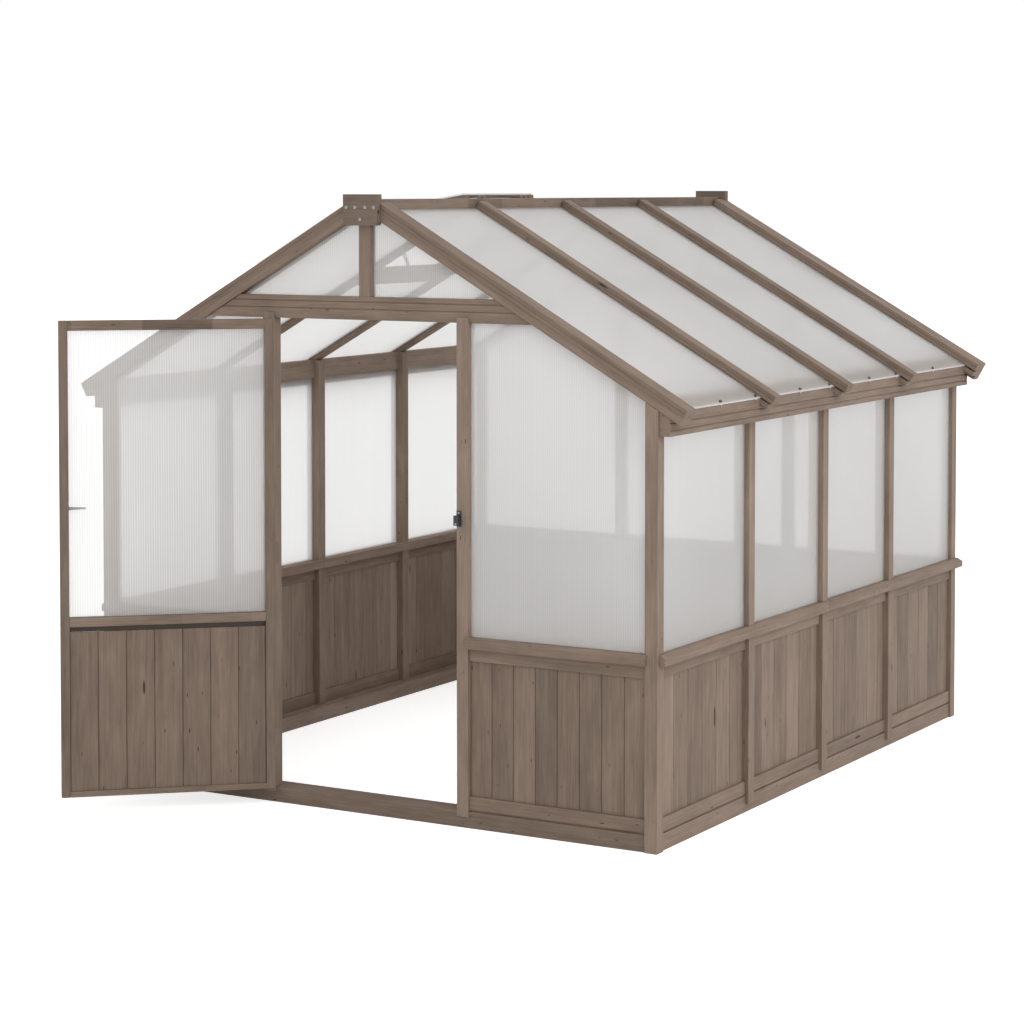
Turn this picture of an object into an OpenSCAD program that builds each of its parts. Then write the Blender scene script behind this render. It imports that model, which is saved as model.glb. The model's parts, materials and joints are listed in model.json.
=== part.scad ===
// Gable-roofed wooden greenhouse with boarded lower walls and twin-wall glazing.
// Right is +X, the back is +Y and up is +Z, seen from the door end.
// The origin is under the middle of the front base rail.

/* [Whole house] */
// Width over the corner posts
house_w = 2440; // [2300:1:2600]
// Length over the corner posts
house_l = 2890; // [2750:1:3050]
// How far the roof's top plane at the corner posts lies below the door opening's top
eave_drop = 218; // [140:1:250]
// Pitch of both roof slopes in degrees
roof_pitch = 29.5; // [27:0.5:32]

/* [Posts and rails] */
// Side of a square corner post
post_w = 50; // [45:0.5:56]
// Width of a side stud along the wall
stud_w = 49; // [40:0.5:55]
// How far a side stud stands proud of the corner posts
stud_proud = 6; // [3:0.5:10]
// How far a side stud stands into the room from the corner posts
stud_inner_proud = 8; // [2:0.5:12]
// Distance between the middles of two side studs
stud_pitch = 682; // [640:1:720]
// How far a stud's foot laps down over the base rail
stud_foot_lap = 28; // [15:1:40]
// Height of the base rails
base_rail_h = 61; // [45:1:70]
// Width of the base rails
base_rail_w = 88; // [70:1:100]
// How far the rails are set back from the corner posts' faces
rail_setback = 8; // [5:0.5:14]
// Thickness of the rails above and below the boards
rail_th = 28; // [24:1:40]
// Height of the bottom rails of the boarded panels
bottom_rail_h = 56; // [40:1:65]
// Height of the rebate along the bottom rails' lower outer edge
rail_line_h = 8; // [4:0.5:14]
// Depth of that rebate
rail_line_d = 6; // [3:0.5:8]
// Height of the boards between their rails
board_h = 496; // [440:1:540]
// Height of the rails below the sills
apron_rail_h = 48; // [35:1:60]
// Width of a door jamb and of a rear stud
jamb_w = 48; // [40:0.5:55]
// How far a jamb laps over the rail below and the header above it
jamb_lap = 20; // [12:1:30]

/* [Sills] */
// Height of the sills
sill_h = 39; // [30:1:50]
// How far the sills stand out from the corner posts' faces
sill_nose = 24; // [18:1:32]
// How far the sills stand into the room from the posts
sill_inner_nose = 14; // [8:1:20]
// Width of the sloping band on a sill's outer edge
sill_bevel_w = 16; // [8:1:20]
// Height of the sloping band on a sill's outer edge
sill_bevel_h = 14; // [6:1:20]
// How far a front sill laps sideways over the posts beside it
sill_side_lap = 8; // [4:1:14]
// How far a side sill stops short of the front face of the corner post
sill_front_stop = 16; // [8:1:30]

/* [Boards] */
// Thickness of the wall and door boards
board_th = 10; // [8:0.5:14]
// How far the boards are set back from the rails' outer face
board_setback = 10; // [6:0.5:13]
// Width of a front or rear board
end_board_w = 90; // [70:1:110]
// Width of a side board
side_board_w = 115; // [90:1:130]
// Narrowest board that may close a row
board_min_w = 20; // [15:1:30]
// Bevel along both edges of a board
board_bevel = 2.5; // [1:0.1:3.5]
// Gap between two boards
board_gap = 0.5; // [0.3:0.1:1]

/* [Doorway and gables] */
// Width of the door opening
door_opening_w = 806; // [740:1:860]
// Height of the door opening above the base rail
door_opening_h = 1779; // [1720:1:1790]
// Height of the grooved header beams
header_h = 86; // [70:1:95]
// Height of the upper band on the header
header_band_top = 20; // [14:1:26]
// Height of the middle band on the header
header_band_mid = 27; // [18:1:32]
// Width of the grooves on the header and eave beams
groove_w = 7; // [4:0.5:9]
// Depth of the grooves on the header and eave beams
groove_d = 4; // [2:0.5:6]
// How far the header and king posts are set back from the posts' faces
gable_setback = 10; // [6:0.5:14]
// Width of a king post
king_post_w = 48; // [44:1:64]

/* [Glazing] */
// Thickness of the twin-wall sheets
sheet_th = 6; // [4:0.5:8]
// How far the sheets are set back from the faces of posts and studs
sheet_setback = 22; // [20:0.5:24]
// How far the gable sheets are set back from the faces of the posts
gable_sheet_setback = 37; // [20:0.5:38]
// How deep the sheets sit in the grooves of the frame
sheet_bite = 8; // [5:0.5:10]
// Gap around a sheet in its groove
sheet_gap = 0.3; // [0.2:0.05:0.5]
// Gap between the gable sheets and the ridge board
gable_sheet_gap = 2; // [1:0.5:6]

/* [Roof] */
// Depth of the caps above the roof sheets
cap_th = 33; // [26:0.5:38]
// Depth of the rafters below the roof sheets
rafter_th = 20; // [16:0.5:30]
// Width of the caps over the middle rafters
cap_w = 57; // [50:0.5:64]
// Width of the front end rafters and their caps
barge_w = 75.5; // [66:0.5:84]
// Width of the rear end rafters and their caps
rear_barge_w = 100; // [90:1:104]
// Height of the moulded line above the lower edge of a cap's side
cap_line_h = 16; // [12:0.5:20]
// Depth of the moulded line in a cap's side
cap_line_d = 2; // [1:0.1:3]
// How far the caps reach out past the corner posts
cap_reach = 112; // [90:1:130]
// How much shorter the rafter tails are than the caps
tail_step = 10; // [4:0.5:20]
// How far the roof sheets reach out past the eave beams
sheet_reach = 5; // [3:0.5:8]
// Gap between two roof sheets over a rafter
sheet_joint = 10; // [6:0.5:16]
// How deep the roof sheets sit in the end rafters
sheet_rebate = 20; // [12:0.5:28]
// How far the front end rafters are set back from the posts' faces
barge_setback = 4.5; // [2:0.5:8]
// How far the rear end rafters stand out behind the rear posts
rear_overhang = 62; // [50:1:70]
// Depth of the rear end rafters behind the eave beams, below the roof's top plane
rear_tail_h = 81; // [70:1:95]
// Thickness of the eave beams outside the posts
eave_beam_th = 45; // [38:0.5:50]
// Height of the front of the eave beams
eave_beam_h = 86; // [70:1:95]
// How far the rear ends of the eave beams stand out behind the rear posts
eave_beam_out = 10; // [0:1:18]
// Height of the lower face of the wall plates above the lower edge of the eave beams
plate_rise = 32; // [24:1:40]
// How far the wall plates are set back from the inner faces of the corner posts
plate_setback = 14; // [4:1:16]
// Thickness of the ridge board
ridge_th = 92; // [84:1:98]
// How far the ridge board's top lies below the roof's apex
ridge_drop = 26; // [20:1:30]
// Height of the ridge board
ridge_h = 65; // [60:1:80]
// Width of a clip that holds the roof sheets at the eaves
clip_w = 9; // [8:0.5:12]
// Length of a clip on top of the sheet
clip_l = 16; // [10:0.5:24]
// Thickness of the clip's metal
clip_th = 1.5; // [1:0.1:2]
// Height of a clip's tab on the eave beam's face
clip_tab_h = 8; // [6:0.5:20]
// Radius of the knob on a clip
clip_knob_r = 6; // [4:0.25:7]
// Height of the knob on a clip
clip_knob_h = 7; // [3:0.5:10]
// Distance of the outer clips from the rafters' middles
clip_inset = 60; // [50:1:90]

/* [Apex plates] */
// Width of an apex plate
gusset_w = 148; // [130:1:170]
// Height of an apex plate
gusset_h = 115; // [105:1:130]
// Thickness of an apex plate
gusset_th = 34; // [30:0.5:38]
// How far the front apex plate stands proud of the end rafters
gusset_proud = 24; // [20:0.5:27]
// How far the rear apex plate stands proud of the end rafters
gusset_rear_proud = 4; // [2:0.5:12]
// How far the top of the front apex plate lies below the roof's apex
gusset_drop = 8; // [2:0.5:12]
// How much higher the rear apex plate sits than the front one
gusset_rear_lift = 10; // [0:0.5:14]
// Radius of the lower corners of an apex plate
gusset_r = 14; // [10:1:34]
// Radius of the bolt heads on the apex plates
bolt_head_r = 7.5; // [6:0.25:9]
// Height of the bolt heads
bolt_head_h = 4; // [2.5:0.25:5]
// Radius of the bolt shanks
bolt_r = 3; // [2.5:0.25:4]
// Length of the bolt shanks in the plate
bolt_l = 28; // [15:1:29]
// Distance of the row of bolts below the plate's top
bolt_drop = 48; // [40:1:56]
// Distance of the lower bolt below the plate's top
bolt_low_drop = 92; // [80:1:96]
// Distance between the outer bolts of the row
bolt_span = 120; // [100:1:126]
// Distance between the inner bolts of the row
bolt_inner_span = 45; // [30:1:60]

/* [Roof vent] */
// Width of the vent leaf
vent_w = 556; // [480:1:570]
// Length of the vent leaf down the slope
vent_l = 581; // [520:1:640]
// Thickness of the vent frame
vent_th = 25; // [22:0.5:28]
// Width of the vent frame's bars
vent_bar = 40; // [32:1:50]
// How far the vent stands open in degrees
vent_open = 20; // [5:1:22]
// Height of the hinge line above the ridge board's top
vent_hinge_rise = 8; // [6:0.5:10]
// How far the hinge line stands out from the ridge board's side
vent_hinge_out = 3; // [3:0.25:5]
// Distance from the hinge line to the vent frame
vent_hinge_gap = 13; // [11.5:0.5:16]
// How far the vent frame rises above the hinge line
vent_frame_rise = 9; // [7:0.5:10]
// How far the sheet on the vent frame stops short of the frame's edges
vent_sheet_inset = 6; // [2:0.5:12]
// Length of the hinge leaf under the frame's upper bar
vent_leaf_l = 26; // [16:1:36]
// Radius of a vent hinge knuckle
vent_knuckle_r = 3.5; // [3:0.1:3.7]
// Radius of a vent hinge pin
vent_pin_r = 1.75; // [1.25:0.05:2]
// Length of a vent hinge
vent_hinge_l = 60; // [45:1:80]
// Distance of the vent hinges' middles from the sides of the leaf
vent_hinge_inset = 110; // [80:1:180]
// Length of the stay bar between its pivot and its free end
stay_l = 240; // [200:1:260]
// Width of the stay bar
stay_w = 16; // [12:0.5:20]
// Thickness of the stay bar
stay_th = 3; // [2:0.5:4]
// Distance between the holes of the stay bar
stay_hole_pitch = 48; // [40:1:56]
// Number of holes in the stay bar
stay_holes_n = 3; // [1:1:4]
// Lean of the stay bar's lower end toward the eaves, against the roof's slope
stay_lean = 8; // [4:0.5:10]
// How far the stay pivot lies above the leaf's lower bar
stay_back = 24; // [24:0.5:32]
// How far the stay pivot lies below the leaf
stay_drop = 13; // [11:0.5:16]
// Length along the trimmer of the plate that carries the stay's peg
peg_plate_l = 48; // [40:1:60]
// How far the peg reaches out from the trimmer
peg_reach = 22; // [18:0.5:24]
// Height of the peg
peg_h = 11; // [7:0.5:12]

/* [Door] */
// Gap between the door leaf and each jamb
door_side_gap = 5; // [4.5:0.5:8]
// Thickness of the door leaf
door_th = 38; // [34:0.5:44]
// Gap between the base rail and the door
door_gap = 3; // [2:0.5:6]
// Gap between the door and the header
door_top_gap = 2; // [1:0.5:6]
// Width of the door stiles
stile_w = 33; // [28:0.5:50]
// Height of the door's top rail
door_top_rail = 37; // [28:1:60]
// Height of the door's middle rail
door_mid_rail = 34; // [28:1:60]
// Height of the door's bottom rail
door_bottom_rail = 22; // [18:1:60]
// Height of the door boards
door_board_h = 595; // [520:1:635]
// Height of the shadow gap above the door boards
door_shadow = 20; // [8:1:26]
// Number of boards in the door
door_boards_n = 7; // [5:1:9]
// How far the door boards are set back from the inner face
door_board_set = 7; // [4:0.5:10]
// How far the door stands open in degrees
door_open = 137.8; // [100:0.2:148]

/* [Door hinges] */
// Length of a door hinge
hinge_l = 76; // [60:1:100]
// Radius of a door hinge knuckle
hinge_r = 5; // [4.2:0.1:5.3]
// Radius of a door hinge pin
hinge_pin_r = 2.5; // [2:0.1:3]
// Thickness of a hinge leaf
hinge_th = 2; // [1.5:0.1:2.2]
// Width of a hinge leaf behind the faces
hinge_leaf_w = 30; // [20:1:34]
// Distance of the outer hinges from the ends of the door
hinge_inset = 180; // [120:1:260]
// Gap between hinge knuckles along the pin
knuckle_gap = 0.3; // [0.2:0.05:0.5]
// Clearance around a pin in its bore
pin_gap = 0.05; // [0.02:0.01:0.1]
// Gap between the knuckles and the front faces of door and jamb
knuckle_stand = 0.5; // [0.3:0.1:1]

/* [Latch] */
// Height of the latch above the ground
latch_z = 1138; // [1000:1:1250]
// Distance of the latch pivot from the door's free edge
latch_in = 19; // [14:0.5:22]
// Length of the latch handle
latch_arm_l = 79; // [60:1:100]
// Width of the latch handle at the pivot
latch_arm_w = 14; // [10:0.5:16]
// Width of the latch handle at its end
latch_tip_w = 6; // [4:0.5:9]
// Length of the latch nose from the pivot
latch_nose_l = 38; // [32:0.5:42]
// Width of the latch nose
latch_nose_w = 8; // [6:0.5:8.5]
// Thickness of the latch handle
latch_th = 4; // [3:0.5:4.5]
// Radius of the latch hub
latch_hub_r = 8; // [7:0.5:10]
// Thickness of the latch and keeper plates
latch_plate_th = 2; // [1.5:0.5:2.5]
// How far the latch plate reaches sideways past the hub
latch_plate_side = 3; // [1:0.5:3]
// How far the latch pin stands out of the handle
latch_pin_out = 1; // [0.5:0.1:2]
// Height of the latch plate
latch_plate_h = 58; // [40:1:70]
// Height of the keeper plate
keeper_h = 58; // [56:1:70]
// Height of the keeper plate's top above the latch pivot
keeper_rise = 22; // [20:1:28]
// How far the keeper is set back from the doorway's edge
keeper_in = 1; // [0.5:0.5:3]
// Width of the keeper plate
keeper_w = 20; // [18:1:24]
// How far the keeper stands out from its plate
keeper_out = 22; // [16:1:24]
// Height of the keeper's body
keeper_body_h = 36; // [30:1:38]
// Height of the keeper body's top above the latch pivot
keeper_body_rise = 5; // [4:0.5:7]
// Gap between the latch nose and the front wall of the keeper's slot
slot_gap = 1.5; // [1:0.1:2]
// Gap between the latch nose and the floor of the keeper's slot
nose_gap = 0.5; // [0.3:0.1:1]
// Radius of the keeper screw heads
keeper_screw_r = 4; // [3:0.25:5]
// Height of the keeper screw heads
keeper_screw_h = 1.5; // [1:0.1:2]
// Distance of the lower keeper screw above the lower edge of the keeper's body
keeper_screw_up = 6; // [5.5:0.5:10]

/* [Hidden] */
$fn = 48;
// Small overrun of a cutting shape past the face it cuts
over = 1;
// Gap between parts that are joined without a pin
joint_gap = 0.3;
half_w = house_w / 2;
post_in = half_w - post_w;
stud_in = post_in - stud_inner_proud;
front_y = -post_w / 2;
front_in_y = post_w / 2;
rear_y = house_l - post_w / 2;
rear_in_y = rear_y - post_w;
mid_y = (front_y + rear_y) / 2;
header_z = base_rail_h + door_opening_h;
header_top = header_z + header_h;
wall_h = header_z - eave_drop;
apex_h = wall_h + half_w * tan(roof_pitch);
sheet_top = cap_th;
sheet_low = cap_th + sheet_th;
rafter_low = sheet_low + rafter_th;
// Depths of the faces that the sheets and the rafters lie on
bed_low = sheet_low + joint_gap;
seat_low = rafter_low + joint_gap;

rail_out = half_w - rail_setback;
rail_front_y = front_y + rail_setback;
base_in_x = rail_out - base_rail_w;
base_in_y = rail_front_y + base_rail_w;
stud_out = half_w + stud_proud;
stud_ys = [mid_y - stud_pitch, mid_y, mid_y + stud_pitch];
bays = [
    [front_in_y, stud_ys[0] - stud_w / 2],
    [stud_ys[0] + stud_w / 2, stud_ys[1] - stud_w / 2],
    [stud_ys[1] + stud_w / 2, stud_ys[2] - stud_w / 2],
    [stud_ys[2] + stud_w / 2, rear_in_y],
];

bottom_rail_z = base_rail_h;
board_z = bottom_rail_z + bottom_rail_h;
apron_z = board_z + board_h;
sill_z = apron_z + apron_rail_h;
sill_top = sill_z + sill_h;
sill_inner_x = post_in - sill_inner_nose;
board_front_y = rail_front_y + board_setback;
board_out = rail_out - board_setback;

jamb_x = door_opening_w / 2;
jamb_out = jamb_x + jamb_w;
gable_y = front_y + gable_setback;
sheet_y = front_y + sheet_setback;
gable_sheet_y = front_y + gable_sheet_setback;
side_sheet_x = stud_out - sheet_setback;

barge_y = front_y + barge_setback;
barge_rear_y = rear_y + rear_overhang;
ridge_x = ridge_th / 2;
ridge_top = apex_h - ridge_drop;
ridge_z = ridge_top - ridge_h;
cap_end = (half_w + cap_reach) / cos(roof_pitch);
tail_end = cap_end - tail_step;
beam_out = half_w + eave_beam_th;
sheet_end = (beam_out + sheet_reach + sheet_top * sin(roof_pitch)) / cos(roof_pitch);
beam_top = slope_z(beam_out, bed_low);
beam_z = beam_top - eave_beam_h;
plate_z = beam_z + plate_rise;
plate_top = slope_z(half_w, bed_low);

gusset_top = apex_h - gusset_drop;
gusset_z = gusset_top - gusset_h;
gusset_y = barge_y - gusset_proud;
gusset_rear_y = barge_rear_y + gusset_rear_proud;
bolt_z = gusset_top - bolt_drop;
bolt_xs = [-bolt_span / 2, -bolt_inner_span / 2, bolt_inner_span / 2, bolt_span / 2];
bolt_low_z = gusset_top - bolt_low_drop;

// Number of the bay with the vent, counted from the front and from 0
vent_bay = 1;
vent_x = ridge_x + vent_hinge_out;
vent_z = ridge_top + vent_hinge_rise;
vent_y = (stud_ys[0] + stud_ys[1] - vent_w) / 2;
vent_y2 = vent_y + vent_w;
vent_end = vent_hinge_gap + vent_l;
// Depth of the vent's hinge line below the roof's top plane
vent_depth = (slope_z(vent_x, 0) - vent_z) * cos(roof_pitch);
vent_low = vent_th - vent_frame_rise;
curb_low = sheet_low - vent_depth;
vent_hinge_ys = [vent_y + vent_hinge_inset, vent_y2 - vent_hinge_inset];
stay_y = (vent_y + vent_y2) / 2;
stay_pivot_s = vent_end - vent_bar - stay_back;
stay_pivot_d = vent_low + stay_drop;

door_x = jamb_x - door_side_gap;
door_z = base_rail_h + door_gap;
door_top = header_z - door_top_gap;
door_in_y = front_y + door_th;
door_axis_x = -(jamb_x + door_x) / 2;
door_axis_y = front_y - hinge_r - knuckle_stand;
stile_x = door_x - stile_w;
door_board_z = door_z + door_bottom_rail;
door_shadow_z = door_board_z + door_board_h;
door_mid_z = door_shadow_z + door_shadow;
door_glass_z = door_mid_z + door_mid_rail;
door_glass_top = door_top - door_top_rail;
door_sheet_y = front_y + (door_th - sheet_th) / 2;
hinge_zs = [
    door_z + hinge_inset,
    (door_z + door_top) / 2,
    door_top - hinge_inset,
];

latch_x = door_x - latch_in;
latch_y = front_y - latch_plate_th;
latch_arm_y = latch_y - latch_plate_th - latch_th;
keeper_x = jamb_x + keeper_in;
keeper_z = latch_z + keeper_rise - keeper_h;
keeper_body_z = latch_z + keeper_body_rise - keeper_body_h;

wood = "#857669";
wood_dark = "#74675B";
sheet_tint = "#D6D5D3";
steel = "#8E9194";
black = "#26272A";

// Height on the right slope at a distance from the middle and a depth
// below the roof's top plane.
function slope_z(x, depth) =
    wall_h + (half_w - x) * tan(roof_pitch) - depth / cos(roof_pitch);

// Distance from the middle where the slope at a depth passes a height.
function slope_x(z, depth) =
    half_w + (wall_h - depth / cos(roof_pitch) - z) / tan(roof_pitch);

// Box between two opposite corners.
module block(low, high) {
    translate(low)
    cube(high - low);
}

// Outline drawn in X and Z, drawn out along Y.
module drawn_y(y0, y1, outline) {
    translate([0, y1, 0])
    rotate([90, 0, 0])
    linear_extrude(y1 - y0)
    polygon(outline);
}

// Outline drawn in Y and Z, drawn out along X.
module drawn_x(x0, x1, outline) {
    translate([x0, 0, 0])
    rotate([90, 0, 90])
    linear_extrude(x1 - x0)
    polygon(outline);
}

// Section drawn in Y and height over the right slope's top plane, drawn out
// down the slope.
module down_slope(s0, s1, outline) {
    translate([0, 0, apex_h])
    rotate([0, roof_pitch, 0])
    drawn_x(s0, s1, outline);
}

module to_left() {
    mirror([1, 0, 0])
    children();
}

module both_sides() {
    children();
    to_left()
    children();
}

// The same piece at the rear, turned front to back.
module to_rear() {
    translate([0, 2 * mid_y, 0])
    mirror([0, 1, 0])
    children();
}

module both_ends() {
    children();
    to_rear()
    children();
}

// Glazing of the walls

function end_sheet(x0, x1, grow) =
    let (
        low = sill_top - sheet_bite - grow,
        high = header_z + sheet_bite + grow,
        depth = rafter_low - sheet_bite - grow
    )
    x1 > slope_x(high, depth)
        ? [[x0 - grow, low], [x1 + grow, low], [x1 + grow, slope_z(x1 + grow, depth)],
           [slope_x(high, depth), high], [x0 - grow, high]]
        : [[x0 - grow, low], [x1 + grow, low], [x1 + grow, high], [x0 - grow, high]];

module end_wall_sheet(x0, x1, grow = 0) {
    drawn_y(sheet_y - grow, sheet_y + sheet_th + grow, end_sheet(x0, x1, grow));
}

module wall_sheet_pair(grow = 0) {
    both_sides()
    end_wall_sheet(jamb_out - sheet_bite, post_in + sheet_bite, grow);
}

module wall_sheet_middle(grow = 0) {
    end_wall_sheet(-jamb_x - sheet_bite, jamb_x + sheet_bite, grow);
}

module gable_sheet_pair(grow = 0) {
    low = header_top - sheet_bite - grow;
    depth = rafter_low - sheet_bite - grow;
    inner = king_post_w / 2 - sheet_bite - grow;
    high = min(ridge_z - gable_sheet_gap + grow, slope_z(inner, depth));
    both_sides()
    drawn_y(gable_sheet_y - grow, gable_sheet_y + sheet_th + grow, [
        [inner, low],
        [slope_x(low, depth), low],
        [slope_x(high, depth), high],
        [inner, high],
    ]);
}

module side_sheets(grow = 0) {
    for (bay = bays) {
        block(
            [side_sheet_x - sheet_th - grow, bay[0] - sheet_bite - grow,
             sill_top - sheet_bite - grow],
            [side_sheet_x + grow, bay[1] + sheet_bite + grow,
             plate_z + sheet_bite + grow]
        );
    }
}

module front_slots() {
    wall_sheet_pair(sheet_gap);
    gable_sheet_pair(sheet_gap);
}

module rear_slots() {
    to_rear() {
        wall_sheet_pair(sheet_gap);
        wall_sheet_middle(sheet_gap);
        gable_sheet_pair(sheet_gap);
    }
}

module side_slots() {
    both_sides()
    side_sheets(sheet_gap);
}

// Base, posts and studs

module end_base_rail() {
    block([-post_in, rail_front_y, 0], [post_in, base_in_y, base_rail_h]);
}

module base_rail_front() {
    color(wood)
    end_base_rail();
}

module base_rail_rear() {
    color(wood)
    to_rear()
    end_base_rail();
}

// Side base rail, notched at both ends around the posts and the end rails.
module side_base_rail() {
    block([post_in, front_in_y, 0], [rail_out, rear_in_y, base_rail_h]);
    block(
        [base_in_x, base_in_y, 0],
        [post_in + over, 2 * mid_y - base_in_y, base_rail_h]
    );
}

module base_rail_left() {
    color(wood)
    to_left()
    side_base_rail();
}

module base_rail_right() {
    color(wood)
    side_base_rail();
}

module corner_posts() {
    color(wood)
    difference() {
        both_sides()
        both_ends()
        drawn_y(front_y, front_in_y, [
            [post_in, 0],
            [half_w, 0],
            [half_w, slope_z(half_w, seat_low)],
            [post_in, slope_z(post_in, seat_low)],
        ]);
        front_slots();
        rear_slots();
        side_slots();
    }
}

// Upright between the base rail and the header, lapping over both.
module end_stud() {
    block([jamb_x, gable_y, base_rail_h], [jamb_out, front_in_y, header_z]);
    block(
        [jamb_x, rail_front_y - joint_gap, base_rail_h],
        [jamb_out, gable_y, header_z]
    );
    block(
        [jamb_x, front_y, base_rail_h - jamb_lap],
        [jamb_out, rail_front_y, header_z]
    );
    block([jamb_x, front_y, header_z - over], [jamb_out, gable_y, header_z + jamb_lap]);
}

module door_jambs() {
    color(wood)
    difference() {
        both_sides()
        end_stud();
        front_slots();
    }
}

module rear_studs() {
    color(wood)
    difference() {
        to_rear()
        both_sides()
        end_stud();
        rear_slots();
    }
}

module lower_studs() {
    color(wood)
    both_sides()
    for (y = stud_ys) {
        block([stud_in, y - stud_w / 2, base_rail_h], [stud_out, y + stud_w / 2, sill_z]);
        block(
            [rail_out, y - stud_w / 2, base_rail_h - stud_foot_lap],
            [stud_out, y + stud_w / 2, base_rail_h]
        );
    }
}

module upper_studs() {
    color(wood)
    difference() {
        both_sides()
        for (y = stud_ys) {
            drawn_y(y - stud_w / 2, y + stud_w / 2, [
                [stud_in, sill_top],
                [stud_out, sill_top],
                [stud_out, beam_z],
                [half_w, beam_z],
                [half_w, slope_z(half_w, seat_low)],
                [slope_x(plate_top, seat_low), plate_top],
                [stud_in, plate_top],
            ]);
        }
        side_slots();
    }
}

// Boarded panels

// A row of rails at one height around the walls, open at the doorway.
module rail_row(z0, z1) {
    both_sides() {
        for (bay = bays) {
            block([rail_out - rail_th, bay[0], z0], [rail_out, bay[1], z1]);
        }
        both_ends()
        block([jamb_out, rail_front_y, z0], [post_in, rail_front_y + rail_th, z1]);
    }
    to_rear()
    block([-jamb_x, rail_front_y, z0], [jamb_x, rail_front_y + rail_th, z1]);
}

// The rebate shows as a dark line between the bottom rails and the base.
module rail_rebate() {
    line_top = bottom_rail_z + rail_line_h;
    inner_x = rail_out - rail_line_d;
    inner_y = rail_front_y + rail_line_d;
    difference() {
        block([-half_w, front_y, bottom_rail_z - over], [half_w, 2 * mid_y - front_y, line_top]);
        block(
            [-inner_x, inner_y, bottom_rail_z - 2 * over],
            [inner_x, 2 * mid_y - inner_y, line_top + over]
        );
    }
}

module bottom_rails() {
    color(wood)
    difference() {
        rail_row(bottom_rail_z, board_z);
        rail_rebate();
    }
}

module apron_rails() {
    color(wood)
    rail_row(apron_z, sill_z);
}

// Section of one board with bevelled edges, laid along X.
module board_section(width, thick) {
    polygon([
        [board_bevel, 0],
        [width - board_bevel, 0],
        [width, board_bevel],
        [width, thick - board_bevel],
        [width - board_bevel, thick],
        [board_bevel, thick],
        [0, thick - board_bevel],
        [0, board_bevel],
    ]);
}

// Upright boards side by side from x = 0; the last one fills what is left.
module board_row(length, width, height) {
    count = ceil((length - board_min_w) / width);
    for (i = [0:count - 1]) {
        translate([i * width, 0, 0])
        linear_extrude(height)
        board_section(i < count - 1 ? width - board_gap : length - i * width, board_th);
    }
}

module boards_beside_door() {
    both_sides()
    translate([jamb_out, board_front_y, board_z])
    board_row(post_in - jamb_out, end_board_w, board_h);
}

module boards_front() {
    color(wood)
    boards_beside_door();
}

module boards_rear() {
    color(wood)
    to_rear() {
        boards_beside_door();
        translate([-jamb_x, board_front_y, board_z])
        board_row(2 * jamb_x, end_board_w, board_h);
    }
}

module side_boards() {
    for (bay = bays) {
        translate([board_out, bay[0], board_z])
        rotate([0, 0, 90])
        board_row(bay[1] - bay[0], side_board_w, board_h);
    }
}

module boards_left() {
    color(wood)
    to_left()
    side_boards();
}

module boards_right() {
    color(wood)
    side_boards();
}

// Sills

// Section of a sill from its inner edge at a to its outer edge at b.
function sill_section(a, b) = [
    [a, sill_z],
    [b, sill_z],
    [b, sill_top - sill_bevel_h],
    [b - sill_bevel_w, sill_top],
    [a, sill_top],
];

// The same section drawn toward lower values, for the front.
function sill_section_front(a, b) = [
    [a, sill_z],
    [b, sill_z],
    [b, sill_top - sill_bevel_h],
    [b + sill_bevel_w, sill_top],
    [a, sill_top],
];

module sills_front() {
    color(wood)
    difference() {
        both_sides()
        difference() {
            drawn_x(
                jamb_out - sill_side_lap,
                post_in + sill_side_lap,
                sill_section_front(front_in_y + sill_inner_nose, front_y - sill_nose)
            );
            block(
                [jamb_x - over, front_y, sill_z - over],
                [jamb_out, mid_y, sill_top + over]
            );
            block(
                [post_in, front_y, sill_z - over],
                [half_w, mid_y, sill_top + over]
            );
            block(
                [sill_inner_x, front_in_y, sill_z - over],
                [half_w, mid_y, sill_top + over]
            );
        }
        front_slots();
    }
}

// Side sill between two places along the wall, wrapping the rear post.
module side_sill(y0, y1) {
    difference() {
        drawn_y(y0, y1, sill_section(sill_inner_x, half_w + sill_nose));
        block(
            [sill_inner_x - over, front_y - over, sill_z - over],
            [half_w, front_in_y, sill_top + over]
        );
        block(
            [sill_inner_x - over, rear_in_y, sill_z - over],
            [half_w, rear_y + 2 * sill_nose, sill_top + over]
        );
        translate([half_w, rear_y, sill_z - over])
        linear_extrude(sill_h + 2 * over)
        polygon([
            [-over, 0],
            [0, 0],
            [2 * sill_nose, 2 * sill_nose],
            [2 * sill_nose, 3 * sill_nose],
            [-over, 3 * sill_nose],
        ]);
        side_sheets(sheet_gap);
    }
}

module side_sills() {
    side_sill(front_y + sill_front_stop, mid_y);
    side_sill(mid_y + joint_gap, rear_y + sill_nose);
}

module sills_left() {
    color(wood)
    to_left()
    side_sills();
}

module sills_right() {
    color(wood)
    side_sills();
}

module sill_rear() {
    color(wood)
    difference() {
        drawn_x(
            -half_w - sill_nose,
            half_w + sill_nose,
            sill_section(rear_in_y - sill_inner_nose, rear_y + sill_nose)
        );
        both_sides() {
            block(
                [sill_inner_x, mid_y, sill_z - over],
                [house_w, rear_in_y, sill_top + over]
            );
            block(
                [post_in, rear_in_y - over, sill_z - over],
                [house_w, rear_y, sill_top + over]
            );
            block(
                [jamb_x, rear_in_y, sill_z - over],
                [jamb_out, rear_y, sill_top + over]
            );
            translate([half_w, rear_y, sill_z - over])
            linear_extrude(sill_h + 2 * over)
            polygon([
                [0, 0],
                [2 * sill_nose, 2 * sill_nose],
                [3 * sill_nose, 2 * sill_nose],
                [3 * sill_nose, -over],
                [0, -over],
            ]);
        }
        rear_slots();
    }
}

// Wall and gable glazing

module wall_glazing_front() {
    color(sheet_tint)
    wall_sheet_pair();
}

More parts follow.
